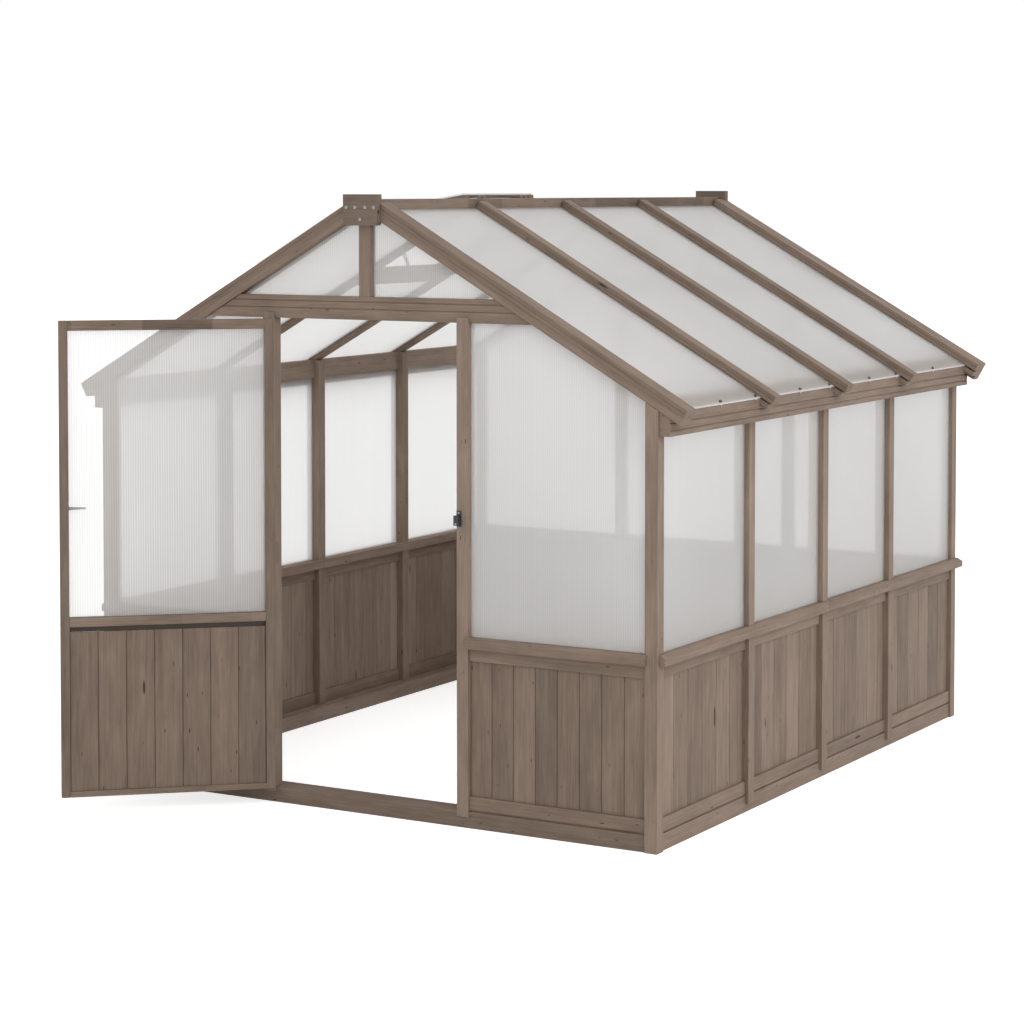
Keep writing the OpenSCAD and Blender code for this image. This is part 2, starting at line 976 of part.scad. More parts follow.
module wall_glazing_rear() {
    color(sheet_tint)
    to_rear() {
        wall_sheet_pair();
        wall_sheet_middle();
    }
}

module wall_glazing_left() {
    color(sheet_tint)
    to_left()
    side_sheets();
}

module wall_glazing_right() {
    color(sheet_tint)
    side_sheets();
}

module gable_glazing() {
    color(sheet_tint)
    both_ends()
    gable_sheet_pair();
}

// Gable frame

// Two V-shaped grooves in a face; heights are given from a base line.
module face_groove(z) {
    polygon([
        [-over, z - groove_w / 2 - over],
        [0, z - groove_w / 2],
        [groove_d, z],
        [0, z + groove_w / 2],
        [-over, z + groove_w / 2 + over],
    ]);
}

module header_beam() {
    reach = slope_x(header_z, seat_low);
    intersection() {
        translate([-reach, 0, 0])
        rotate([90, 0, 90])
        linear_extrude(2 * reach)
        difference() {
            translate([gable_y, header_z])
            square([front_in_y - gable_y, header_h]);
            translate([gable_y, 0]) {
                face_groove(header_top - header_band_top);
                face_groove(header_top - header_band_top - header_band_mid);
            }
        }
        drawn_y(front_y, front_in_y + over, [
            [-reach, header_z],
            [reach, header_z],
            [slope_x(header_top, seat_low), header_top],
            [-slope_x(header_top, seat_low), header_top],
        ]);
    }
}

module header_beams() {
    color(wood)
    difference() {
        both_ends()
        header_beam();
        front_slots();
        rear_slots();
    }
}

module king_posts() {
    color(wood)
    difference() {
        both_ends()
        block(
            [-king_post_w / 2, gable_y, header_top],
            [king_post_w / 2, front_in_y, ridge_z - joint_gap]
        );
        front_slots();
        rear_slots();
        gusset_pair(joint_gap);
    }
}

// Eaves and ridge

module plate_right() {
    difference() {
        for (bay = bays) {
            drawn_y(bay[0], bay[1], [
                [post_in + plate_setback, plate_z],
                [half_w, plate_z],
                [half_w, plate_top],
                [post_in + plate_setback, plate_top],
            ]);
        }
        barge_blank();
        rafter_blank();
        side_sheets(sheet_gap);
    }
}

module wall_plates() {
    color(wood)
    both_sides()
    plate_right();
}

module eave_beam() {
    difference() {
        translate([0, rear_y + eave_beam_out, 0])
        rotate([90, 0, 0])
        linear_extrude(rear_y + eave_beam_out - rail_front_y)
        difference() {
            polygon([
                [half_w, beam_z],
                [beam_out, beam_z],
                [beam_out, beam_top],
                [half_w, plate_top],
            ]);
            translate([beam_out, 0])
            mirror([1, 0]) {
                face_groove(beam_z + header_band_top);
                face_groove(beam_z + header_band_top + header_band_mid);
            }
        }
        barge_blank();
        rafter_blank();
    }
}

module eave_beam_left() {
    color(wood)
    to_left()
    eave_beam();
}

module eave_beam_right() {
    color(wood)
    eave_beam();
}

module ridge_board() {
    color(wood)
    difference() {
        block([-ridge_x, barge_y, ridge_z], [ridge_x, barge_rear_y, ridge_top]);
        gusset_pair(joint_gap);
    }
}

// Rafters and caps

// Straight bar on the right slope between two depths below the top plane.
module slope_bar(y0, y1, top, low, end) {
    difference() {
        down_slope(-cap_th - rafter_low, end, [
            [y0, -low],
            [y1, -low],
            [y1, -top],
            [y0, -top],
        ]);
        block([-house_w, y0 - over, 0], [ridge_x, y1 + over, apex_h + cap_th]);
    }
}

// Space that the end rafters take up on the right slope.
module barge_blank() {
    slope_bar(barge_y, barge_y + barge_w, sheet_top, seat_low, cap_end);
    slope_bar(barge_rear_y - rear_barge_w, barge_rear_y, sheet_top, seat_low, cap_end);
}

// Space that the middle rafters take up on the right slope, with a gap.
module rafter_blank() {
    for (y = stud_ys) {
        slope_bar(
            y - stud_w / 2 - joint_gap,
            y + stud_w / 2 + joint_gap,
            sheet_top,
            seat_low,
            tail_end
        );
    }
}

// End rafter on the right slope; its rebate takes the edge of the sheet.
module barge_rafter(outer, inner) {
    side = sign(inner - outer);
    edges = [inner - side * sheet_rebate, inner + side * over];
    difference() {
        slope_bar(min(outer, inner), max(outer, inner), sheet_top, rafter_low, cap_end);
        down_slope(0, cap_end + over, [
            [min(edges), -bed_low],
            [max(edges), -bed_low],
            [max(edges), -sheet_top + over],
            [min(edges), -sheet_top + over],
        ]);
    }
}

// Deeper part of a rear end rafter, behind the eave beams and the rear wall.
module rear_barge_drop() {
    slope_bar(
        rear_y + eave_beam_out + joint_gap, barge_rear_y, rafter_low - over,
        rear_tail_h, cap_end
    );
}

module barge_rafters() {
    color(wood)
    difference() {
        both_sides() {
            barge_rafter(barge_y, barge_y + barge_w);
            barge_rafter(barge_rear_y, barge_rear_y - rear_barge_w);
            rear_barge_drop();
        }
        front_slots();
        rear_slots();
        gusset_pair(joint_gap);
    }
}

module slope_rafters() {
    for (y = stud_ys) {
        slope_bar(y - stud_w / 2, y + stud_w / 2, sheet_low, rafter_low, tail_end);
    }
}

module rafters_left() {
    color(wood)
    to_left()
    slope_rafters();
}

module rafters_right() {
    color(wood)
    slope_rafters();
}

// Cap on the right slope with a fine moulded line in both sides; its upper end is
// cut square and touches the ridge board's side plane with its lower edge.
module slope_cap(y0, y1) {
    line_z = -cap_th + cap_line_h;
    start = (ridge_x + cap_th * sin(roof_pitch)) / cos(roof_pitch);
    down_slope(start, cap_end, [
        [y0, -cap_th],
        [y1, -cap_th],
        [y1, line_z - cap_line_d],
        [y1 - cap_line_d, line_z],
        [y1, line_z + cap_line_d],
        [y1, 0],
        [y0, 0],
        [y0, line_z + cap_line_d],
        [y0 + cap_line_d, line_z],
        [y0, line_z - cap_line_d],
    ]);
}

module barge_caps() {
    color(wood)
    difference() {
        both_sides() {
            slope_cap(barge_y, barge_y + barge_w);
            slope_cap(barge_rear_y - rear_barge_w, barge_rear_y);
        }
        gusset_pair(joint_gap);
    }
}

module slope_caps() {
    for (y = stud_ys) {
        slope_cap(y - cap_w / 2, y + cap_w / 2);
    }
}

module rafter_caps_left() {
    color(wood)
    to_left()
    slope_caps();
}

module rafter_caps_right() {
    color(wood)
    slope_caps();
}

// Roof glazing

function sheet_edges() = [
    barge_y + barge_w - sheet_rebate + sheet_gap + sheet_joint / 2,
    stud_ys[0],
    stud_ys[1],
    stud_ys[2],
    barge_rear_y - rear_barge_w + sheet_rebate - sheet_gap - sheet_joint / 2,
];

// Roof sheet number i, its upper end starting at a given slope length.
module roof_sheet(i, start) {
    edges = sheet_edges();
    difference() {
        down_slope(start, sheet_end, [
            [edges[i] + sheet_joint / 2, -sheet_low],
            [edges[i + 1] - sheet_joint / 2, -sheet_low],
            [edges[i + 1] - sheet_joint / 2, -sheet_top],
            [edges[i] + sheet_joint / 2, -sheet_top],
        ]);
        block([-house_w, front_y, 0], [ridge_x, barge_rear_y, apex_h]);
    }
}

module roof_glazing_right() {
    color(sheet_tint)
    for (i = [0:len(stud_ys)]) {
        roof_sheet(i, 0);
    }
}

// Slope length of the vent's hinge line from the apex.
function vent_s() = vent_x * cos(roof_pitch) + (apex_h - vent_z) * sin(roof_pitch);

module roof_glazing_left() {
    color(sheet_tint)
    to_left()
    for (i = [0:len(stud_ys)]) {
        roof_sheet(i, i == vent_bay ? vent_s() + vent_end - vent_bar / 2 : 0);
    }
}

// Clip over the lower edge of a roof sheet, with a knob on the sheet and a tab on
// the eave beam's face.
module sheet_clip(y) {
    block(
        [beam_out, y - clip_w / 2, beam_top - 2 * clip_th - clip_tab_h],
        [beam_out + 2 * clip_th, y + clip_w / 2, beam_top - 2 * clip_th]
    );
    translate([0, 0, apex_h])
    rotate([0, roof_pitch, 0])
    translate([sheet_end - clip_l / 2, y, -sheet_top])
    cylinder(r = clip_knob_r, h = clip_knob_h);
    down_slope(sheet_end - clip_l, sheet_end + clip_th, [
        [y - clip_w / 2, -sheet_top],
        [y + clip_w / 2, -sheet_top],
        [y + clip_w / 2, -sheet_top + clip_th],
        [y - clip_w / 2, -sheet_top + clip_th],
    ]);
    down_slope(sheet_end, sheet_end + clip_th, [
        [y - clip_w / 2, -sheet_low - 2 * clip_th],
        [y + clip_w / 2, -sheet_low - 2 * clip_th],
        [y + clip_w / 2, -sheet_top],
        [y - clip_w / 2, -sheet_top],
    ]);
}

module sheet_clips() {
    middles = [
        (front_in_y + stud_ys[0]) / 2,
        (stud_ys[0] + stud_ys[1]) / 2,
        (stud_ys[1] + stud_ys[2]) / 2,
        (stud_ys[2] + rear_in_y) / 2,
    ];
    color(steel)
    both_sides() {
        for (y = middles) {
            sheet_clip(y);
        }
        for (y = stud_ys) {
            sheet_clip(y - clip_inset);
        }
    }
}

// Apex plates

module gusset(y0, y1, grow = 0) {
    difference() {
        block(
            [-gusset_w / 2 - grow, y0 - grow, gusset_z - grow],
            [gusset_w / 2 + grow, y1 + grow, gusset_top + grow]
        );
        both_sides()
        difference() {
            block(
                [gusset_w / 2 - gusset_r, y0 - 2 * over, gusset_z - 2 * over],
                [gusset_w / 2 + 2 * over, y1 + 2 * over, gusset_z + gusset_r]
            );
            translate([gusset_w / 2 - gusset_r, y1 + 3 * over, gusset_z + gusset_r])
            rotate([90, 0, 0])
            cylinder(r = gusset_r + grow, h = y1 - y0 + 6 * over);
        }
    }
}

module gusset_pair(grow = 0) {
    gusset(gusset_y, gusset_y + gusset_th, grow);
    translate([0, 0, gusset_rear_lift])
    gusset(gusset_rear_y - gusset_th, gusset_rear_y, grow);
}

// Every bolt of one plate at its outer face, pointing inward along +Y.
module bolt_set(head_r, head_h, shank_r) {
    spots = concat([for (x = bolt_xs) [x, bolt_z]], [[0, bolt_low_z]]);
    for (spot = spots) {
        translate([spot[0], 0, spot[1]])
        rotate([-90, 0, 0]) {
            translate([0, 0, -head_h])
            cylinder(r = head_r, h = head_h);
            cylinder(r = shank_r, h = bolt_l);
        }
    }
}

module both_plates() {
    translate([0, gusset_y, 0])
    children();
    translate([0, gusset_rear_y, gusset_rear_lift])
    mirror([0, 1, 0])
    children();
}

module apex_plates() {
    color(wood_dark)
    difference() {
        gusset_pair();
        both_plates()
        bolt_set(bolt_r + pin_gap, bolt_head_h, bolt_r + pin_gap);
    }
}

module apex_bolts() {
    color(steel)
    both_plates()
    bolt_set(bolt_head_r, bolt_head_h, bolt_r);
}

// Roof vent

// Puts a shape drawn about the hinge line, leaf toward -X, on the left slope,
// opened by an angle.
module at_vent(angle) {
    translate([-vent_x, 0, vent_z])
    rotate([0, angle - roof_pitch, 0])
    children();
}

// Box in the vent's own frame: s down the slope, depth below the hinge line.
module vent_block(s0, s1, y0, y1, d0, d1) {
    block([-s1, y0, -d1], [-s0, y1, -d0]);
}

module vent_curb() {
    rear_cap_y = stud_ys[1] - cap_w / 2;
    front_cap_y = stud_ys[0] + cap_w / 2;
    front_inner = vent_y + vent_bar / 2;
    rear_inner = vent_y2 - vent_bar / 2;
    start = (ridge_x + joint_gap - vent_x + curb_low * sin(roof_pitch)) / cos(roof_pitch);
    color(wood)
    at_vent(0) {
        vent_block(
            start, vent_end - vent_bar - joint_gap, front_cap_y, front_inner,
            vent_low + joint_gap, curb_low
        );
        vent_block(
            start, vent_end - vent_bar - joint_gap, rear_inner, rear_cap_y,
            vent_low + joint_gap, curb_low
        );
        vent_block(
            vent_end - vent_bar, vent_end - vent_bar / 2, front_cap_y, rear_cap_y,
            vent_low + joint_gap, curb_low + rafter_th
        );
        vent_block(
            vent_end - vent_bar / 2, vent_end + vent_bar / 2,
            stud_ys[0] + stud_w / 2, stud_ys[1] - stud_w / 2,
            curb_low + joint_gap, curb_low + rafter_th
        );
    }
}

// The frame's upper bar is thin and lies on the hinges; the other bars are full.
module vent_frame() {
    inner_y = vent_y + vent_bar + joint_gap;
    inner_y2 = vent_y2 - vent_bar - joint_gap;
    color(wood)
    at_vent(vent_open) {
        vent_block(
            vent_hinge_gap, vent_end, vent_y, vent_y + vent_bar,
            -vent_frame_rise, vent_low
        );
        vent_block(
            vent_hinge_gap, vent_end, vent_y2 - vent_bar, vent_y2,
            -vent_frame_rise, vent_low
        );
        vent_block(
            vent_hinge_gap, vent_hinge_gap + vent_bar, inner_y, inner_y2,
            -vent_frame_rise, -clip_th / 2
        );
        vent_block(
            vent_end - vent_bar, vent_end, inner_y, inner_y2,
            -vent_frame_rise, vent_low
        );
    }
}

// Sheet that lies on the whole frame.
module vent_glazing() {
    low = -vent_frame_rise - joint_gap;
    color(sheet_tint)
    at_vent(vent_open)
    vent_block(
        vent_hinge_gap + vent_sheet_inset, vent_end - vent_sheet_inset,
        vent_y + vent_sheet_inset, vent_y2 - vent_sheet_inset,
        low - sheet_th, low
    );
}

// Piece of a hinge knuckle about the vent's hinge line.
module vent_tube(y0, y1, r) {
    translate([-vent_x, y1, vent_z])
    rotate([90, 0, 0])
    cylinder(r = r, h = y1 - y0);
}

module vent_hinges_roof() {
    third = vent_hinge_l / 3;
    color(steel)
    for (y = vent_hinge_ys) {
        for (side = [0, 1]) {
            y0 = y - vent_hinge_l / 2 + side * 2 * third;
            vent_tube(y0, y0 + third, vent_knuckle_r);
            block(
                [-vent_x, y0, ridge_top],
                [-vent_x + vent_knuckle_r, y0 + third, vent_z]
            );
            block(
                [-vent_x, y0, ridge_top],
                [-ridge_x / 2, y0 + third, ridge_top + clip_th]
            );
        }
        block(
            [-ridge_x + joint_gap, y - vent_hinge_l / 2, ridge_top],
            [-ridge_x / 2, y + vent_hinge_l / 2, ridge_top + clip_th]
        );
        vent_tube(y - vent_hinge_l / 2, y + vent_hinge_l / 2, vent_pin_r);
    }
}

module vent_hinges_leaf() {
    third = vent_hinge_l / 3 - 2 * knuckle_gap;
    color(steel)
    difference() {
        for (y = vent_hinge_ys) {
            vent_tube(y - third / 2, y + third / 2, vent_knuckle_r);
            at_vent(vent_open) {
                vent_block(
                    0, vent_hinge_gap, y - third / 2, y + third / 2,
                    -clip_th / 2, clip_th / 2
                );
                vent_block(
                    vent_hinge_gap, vent_hinge_gap + vent_leaf_l,
                    y - vent_hinge_l / 2, y + vent_hinge_l / 2,
                    -clip_th / 2, clip_th / 2
                );
            }
        }
        for (y = vent_hinge_ys) {
            vent_tube(y - third, y + third, vent_pin_r + pin_gap);
        }
    }
}

// Stay pivot on the open vent.
module at_stay_pivot() {
    at_vent(vent_open)
    translate([-stay_pivot_s, stay_y, -stay_pivot_d])
    children();
}

module stay_bracket() {
    color(steel)
    at_stay_pivot() {
        translate([-stay_w / 2, stay_th / 2 + joint_gap, -stay_w / 2])
        cube([stay_w, stay_th, stay_pivot_d - vent_low + stay_w / 2]);
        translate([-stay_w / 2, -stay_w, stay_pivot_d - vent_low - clip_th])
        cube([stay_w, stay_w + 2 * stay_th, clip_th]);
        translate([0, stay_th / 2 + stay_th, 0])
        rotate([90, 0, 0])
        cylinder(r = stay_th, h = 2 * stay_th + stay_th / 2);
    }
}

module vent_stay() {
    color(steel)
    at_stay_pivot()
    rotate([0, stay_lean - vent_open, 0])
    difference() {
        union() {
            rotate([90, 0, 0])
            cylinder(r = stay_w / 2, h = stay_th, center = true);
            translate([-stay_w / 2, -stay_th / 2, -stay_l])
            cube([stay_w, stay_th, stay_l]);
        }
        rotate([90, 0, 0])
        cylinder(r = stay_th + pin_gap, h = 2 * stay_th, center = true);
        for (i = [1:stay_holes_n]) {
            translate([0, 0, -stay_l + i * stay_hole_pitch])
            rotate([90, 0, 0])
            cylinder(r = stay_th + joint_gap, h = 2 * stay_th, center = true);
        }
    }
}

// Peg on the inner face of the trimmer, just clear of the stay bar.
module stay_peg() {
    peg_d = curb_low + rafter_th;
    color(steel)
    at_vent(0) {
        vent_block(
            vent_end - vent_bar - clip_th, vent_end - vent_bar,
            stay_y + stay_th / 2 + joint_gap, stay_y + peg_plate_l,
            vent_low + stay_th, peg_d
        );
        vent_block(
            vent_end - vent_bar - peg_reach, vent_end - vent_bar,
            stay_y + stay_th / 2 + joint_gap,
            stay_y + stay_th / 2 + joint_gap + stay_th,
            peg_d - peg_h, peg_d
        );
    }
}

// Door

// Turns a piece drawn on the closed door to where the door stands open.
module door_swung() {
    translate([door_axis_x, door_axis_y, 0])
    rotate([0, 0, -door_open])
    translate([-door_axis_x, -door_axis_y, 0])
    children();
}

module door_sheet(grow = 0) {
    block(
        [-stile_x - sheet_bite - grow, door_sheet_y - grow, door_glass_z - sheet_bite - grow],
        [stile_x + sheet_bite + grow, door_sheet_y + sheet_th + grow,
         door_glass_top + sheet_bite + grow]
    );
}

module door_stiles() {
    color(wood)
    door_swung()
    difference() {
        both_sides()
        block([stile_x, front_y, door_z], [door_x, door_in_y, door_top]);
        door_sheet(sheet_gap);
    }
}

module door_rails() {
    lip_y = door_in_y - door_board_set - board_th;
    color(wood)
    door_swung()
    difference() {
        union() {
            block([-stile_x, front_y, door_glass_top], [stile_x, door_in_y, door_top]);
            block([-stile_x, front_y, door_mid_z], [stile_x, door_in_y, door_glass_z]);
            block([-stile_x, front_y, door_shadow_z], [stile_x, lip_y, door_mid_z + over]);
            block([-stile_x, front_y, door_z], [stile_x, door_in_y, door_board_z]);
        }
        door_sheet(sheet_gap);
    }
}

module door_boards() {
    pitch = 2 * stile_x / door_boards_n;
    color(wood)
    door_swung()
    for (i = [0:door_boards_n - 1]) {
        translate([-stile_x + i * pitch, door_in_y - door_board_set - board_th, door_board_z])
        linear_extrude(door_board_h)
        board_section(i < door_boards_n - 1 ? pitch - board_gap : pitch, board_th);
    }
}

module door_glazing() {
    color(sheet_tint)
    door_swung()
    door_sheet();
}

// Door hinges

module hinge_tube(z0, z1, r) {
    translate([door_axis_x, door_axis_y, z0])
    cylinder(r = r, h = z1 - z0);
}

module door_hinges_jamb() {
    third = hinge_l / 3;
    color(steel)
    for (z = hinge_zs) {
        for (side = [0, 1]) {
            z0 = z - hinge_l / 2 + side * 2 * third;
            hinge_tube(z0, z0 + third, hinge_r);
            block(
                [-jamb_x, door_axis_y, z0],
                [-jamb_x + hinge_th, front_y, z0 + third]
            );
        }
        hinge_tube(z - hinge_l / 2, z + hinge_l / 2, hinge_pin_r);
        block(
            [-jamb_x, front_y, z - hinge_l / 2],
            [-jamb_x + hinge_th, front_y + hinge_leaf_w, z + hinge_l / 2]
        );
    }
}

module door_hinges_leaf() {
    third = hinge_l / 3 - 2 * knuckle_gap;
    color(steel)
    door_swung()
    for (z = hinge_zs) {
        difference() {
            union() {
                hinge_tube(z - third / 2, z + third / 2, hinge_r);
                block(
                    [-door_x - hinge_th, door_axis_y, z - third / 2],
                    [-door_x, front_y, z + third / 2]
                );
                block(
                    [-door_x - hinge_th, front_y, z - hinge_l / 2],
                    [-door_x, front_y + hinge_leaf_w, z + hinge_l / 2]
                );
            }
            hinge_tube(z - third, z + third, hinge_pin_r + pin_gap);
        }
    }
}

// Latch

module latch_plate() {
    color(black)
    door_swung() {
        block(
            [latch_x - latch_hub_r - latch_plate_side, latch_y, latch_z - latch_plate_h / 2],
            [latch_x + latch_hub_r + latch_plate_side, front_y, latch_z + latch_plate_h / 2]
        );
        translate([latch_x, latch_y, latch_z])
        rotate([90, 0, 0])
        cylinder(r = latch_th, h = latch_plate_th + latch_th + latch_pin_out);
    }
}

// Handle toward the hinge side, nose upward, both in one flat bar.
module latch_lever() {
    color(black)
    door_swung()
    difference() {
        translate([latch_x, latch_arm_y + latch_th, latch_z])
        rotate([90, 0, 0]) {
            linear_extrude(latch_th)
            polygon([
                [0, -latch_arm_w / 2],
                [0, latch_arm_w / 2],
                [-latch_arm_l, latch_tip_w / 2],
                [-latch_arm_l, -latch_tip_w / 2],
            ]);
            translate([-latch_nose_w / 2, 0, 0])
            cube([latch_nose_w, latch_nose_l, latch_th]);
            translate([0, 0, -latch_plate_th + joint_gap])
            cylinder(r = latch_hub_r, h = latch_th + latch_plate_th - joint_gap);
        }
        translate([latch_x, front_y, latch_z])
        rotate([90, 0, 0])
        cylinder(r = latch_th + pin_gap, h = 3 * latch_hub_r);
    }
}

module latch_keeper() {
    slot_y = latch_arm_y - slot_gap;
    color(black)
    difference() {
        union() {
            block(
                [keeper_x, front_y - latch_plate_th, keeper_z],
                [keeper_x + keeper_w, front_y, keeper_z + keeper_h]
            );
            block(
                [keeper_x, front_y - latch_plate_th - keeper_out, keeper_body_z],
                [keeper_x + keeper_w, front_y - latch_plate_th + over / 2,
                 keeper_body_z + keeper_body_h]
            );
        }
        block(
            [keeper_x - over, slot_y, latch_z - latch_nose_w / 2 - nose_gap],
            [keeper_x + keeper_w + over, front_y - latch_plate_th,
             keeper_body_z + keeper_body_h + over]
        );
        keeper_screw_set(keeper_screw_r / 2 + pin_gap, keeper_screw_r / 2 + pin_gap);
    }
}

// One screw in the plate above the body and one in the body's front.
module keeper_screw_set(head_r, shank_r) {
    plate_y = front_y - latch_plate_th;
    spots = [
        [plate_y, (keeper_body_z + keeper_body_h + keeper_z + keeper_h) / 2],
        [plate_y - keeper_out, keeper_body_z + keeper_screw_up],
    ];
    for (spot = spots) {
        translate([keeper_x + keeper_w / 2, spot[0], spot[1]])
        rotate([90, 0, 0]) {
            translate([0, 0, -latch_plate_th])
            cylinder(r = shank_r, h = latch_plate_th);
            cylinder(r = head_r, h = keeper_screw_h);
        }
    }
}

module keeper_screws() {
    color(steel)
    keeper_screw_set(keeper_screw_r, keeper_screw_r / 2);
}

base_rail_front();
base_rail_rear();
base_rail_left();
base_rail_right();
corner_posts();
door_jambs();
rear_studs();
lower_studs();
upper_studs();
bottom_rails();
apron_rails();
boards_front();
boards_left();
boards_right();
boards_rear();
sills_front();
sills_left();
sills_right();
sill_rear();
wall_glazing_front();
wall_glazing_left();
wall_glazing_right();
wall_glazing_rear();
header_beams();
king_posts();
gable_glazing();
wall_plates();
eave_beam_left();
eave_beam_right();
ridge_board();
barge_rafters();
rafters_left();
rafters_right();
barge_caps();
rafter_caps_left();
rafter_caps_right();
roof_glazing_left();
roof_glazing_right();
sheet_clips();
apex_plates();
apex_bolts();
vent_curb();
vent_frame();
vent_glazing();
vent_hinges_roof();
vent_hinges_leaf();
stay_peg();
stay_bracket();
vent_stay();
door_stiles();
door_rails();
door_boards();
door_glazing();
door_hinges_jamb();
door_hinges_leaf();
latch_plate();
latch_lever();
latch_keeper();
keeper_screws();
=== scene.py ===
"""Looks of a wooden greenhouse: greige timber, white twin-wall sheets, black latch.

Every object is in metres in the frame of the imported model: +X right, +Y back, +Z up.
The timber nodes are shown by copies with eased edges and their own grain, one lay of
grain for each board or beam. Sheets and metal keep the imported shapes.
"""

import json
import logging
import math
import random
from dataclasses import dataclass, field
from enum import Enum

import bmesh
import bpy
from mathutils import Matrix, Vector

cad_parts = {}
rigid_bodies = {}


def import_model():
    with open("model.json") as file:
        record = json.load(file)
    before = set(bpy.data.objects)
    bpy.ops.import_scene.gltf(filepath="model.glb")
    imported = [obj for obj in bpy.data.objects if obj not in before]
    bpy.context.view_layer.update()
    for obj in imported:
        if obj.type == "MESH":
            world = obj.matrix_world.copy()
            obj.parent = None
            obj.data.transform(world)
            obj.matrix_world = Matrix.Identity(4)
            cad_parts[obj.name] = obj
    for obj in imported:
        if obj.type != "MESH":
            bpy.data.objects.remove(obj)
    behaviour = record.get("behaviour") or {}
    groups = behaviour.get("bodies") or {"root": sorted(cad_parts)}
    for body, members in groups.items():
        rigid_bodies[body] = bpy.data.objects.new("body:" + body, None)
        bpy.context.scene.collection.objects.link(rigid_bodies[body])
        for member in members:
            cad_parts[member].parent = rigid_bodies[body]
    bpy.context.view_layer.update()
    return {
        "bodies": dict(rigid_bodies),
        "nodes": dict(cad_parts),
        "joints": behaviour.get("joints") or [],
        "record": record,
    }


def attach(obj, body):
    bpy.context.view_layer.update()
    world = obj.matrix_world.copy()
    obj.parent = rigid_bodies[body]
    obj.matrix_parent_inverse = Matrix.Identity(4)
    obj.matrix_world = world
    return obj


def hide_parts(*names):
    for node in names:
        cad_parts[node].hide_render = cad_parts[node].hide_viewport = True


LOG = logging.getLogger("greenhouse")
MM = 0.001

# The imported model, which main loads first.
FRAME: dict = {}

# Corners closer than this are joined.
WELD = 0.02 * MM
# Places closer than this count as one place.
SAME = 0.1 * MM
# Edges that turn by more than this are eased.
SHARP = math.radians(40)
# Faces further in than this are in a recess, where painted shade can darken them.
RECESS = 4 * MM
# How straight a face or an edge has to be to count as flat.
FLAT = math.radians(0.5)
# Least part of a face's normal along an axis for the face to count as square to it.
SQUARE = 0.999

# Short names for the types in the hints.
Tree = bpy.types.NodeTree
Node = bpy.types.Node
Socket = bpy.types.NodeSocket
Material = bpy.types.Material
Piece = bpy.types.Object
Mesh = bmesh.types.BMesh
Vertex = bmesh.types.BMVert
Face = bmesh.types.BMFace
Layer = bmesh.types.BMLayerItem


class Lay(Enum):
    """How the pieces of a node lie, which sets the directions of their grain."""

    LEVEL = "level"
    SLOPE = "slope"
    VENT = "vent"
    DOOR = "door"


class Grain(Enum):
    """Which way the grain of a piece runs."""

    LONGEST = "longest"
    UPRIGHT = "upright"


@dataclass(frozen=True)
class House:
    """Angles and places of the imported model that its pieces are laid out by.

    Attributes:
        pitch: Slope of both roof sides in degrees.
        vent_open: How far the vent stands open in degrees.
        vent_hinge: Place of the vent's hinge line.
        door_open: How far the door stands open in degrees.
        door_hinge: Place of the door's hinge line.
    """

    pitch: float = 29.5
    vent_open: float = 20.0
    vent_hinge: tuple[float, float, float] = (-0.049, 0.0, 2.294243)
    door_open: float = 137.8
    door_hinge: tuple[float, float, float] = (-0.4005, -0.0305, 0.0)

    def to_lay(self, lay: Lay, right: bool) -> Matrix:
        """Turns places in the model into places in a piece's own lay.

        Args:
            lay: How the piece lies.
            right: True for a piece on the right roof slope.

        Returns:
            A matrix from the model to the lay, in which the piece is square.
        """
        if lay is Lay.SLOPE:
            turn = self.pitch if right else -self.pitch
            return Matrix.Rotation(math.radians(-turn), 4, "Y")
        if lay is Lay.VENT:
            turn = math.radians(self.pitch - self.vent_open)
            back = Matrix.Rotation(turn, 4, "Y")
            return back @ Matrix.Translation(-Vector(self.vent_hinge))
        if lay is Lay.DOOR:
            back = Matrix.Rotation(math.radians(self.door_open), 4, "Z")
            return back @ Matrix.Translation(-Vector(self.door_hinge))
        return Matrix.Identity(4)


def linear(hex_colour: str) -> tuple[float, float, float, float]:
    """Turns an sRGB hex colour into linear values.

    Args:
        hex_colour: Six hex digits after a number sign.

    Returns:
        Linear red, green, blue and an alpha of 1.
    """
    values = [int(hex_colour[i : i + 2], 16) / 255 for i in (1, 3, 5)]
    flat = [v / 12.92 if v <= 0.04045 else ((v + 0.055) / 1.055) ** 2.4 for v in values]
    return (flat[0], flat[1], flat[2], 1.0)


def add_node(tree: Tree, kind: str, *links: tuple, **settings: object) -> Node:
    """Adds a node with its settings and links.

    Args:
        tree: Node tree that gets the node.
        kind: Blender's name for the node type.
        links: Pairs of an input, by name or number, and what feeds it: a socket, a node
            whose first output feeds it, or a plain value.
        settings: Properties of the node.

    Returns:
        The new node.
    """
    node = tree.nodes.new(kind)
    for name, value in settings.items():
        setattr(node, name, value)
    for key, value in links:
        if isinstance(value, Node):
            value = value.outputs[0]
        if isinstance(value, Socket):
            tree.links.new(value, node.inputs[key])
        else:
            node.inputs[key].default_value = value
    return node


def set_stops(marks: bpy.types.ColorRampElements, stops: list[tuple]) -> None:
    """Sets the stops of a colour ramp.

    Args:
        marks: The ramp's elements.
        stops: Pairs of a place from 0 to 1 and a linear colour.
    """
    while len(marks) < len(stops):
        marks.new(0.5)
    for mark, (place, colour) in zip(marks, stops):
        mark.position = place
        mark.color = colour


def grey(value: float) -> tuple[float, float, float, float]:
    """Returns a linear grey of one value."""
    return (value, value, value, 1.0)


def new_material(name: str) -> tuple[Material, Tree]:
    """Makes an empty node material.

    Args:
        name: Name of the material.

    Returns:
        The material and its tree.
    """
    material = bpy.data.materials.new(name)
    material.use_nodes = True
    material.node_tree.nodes.clear()
    return material, material.node_tree


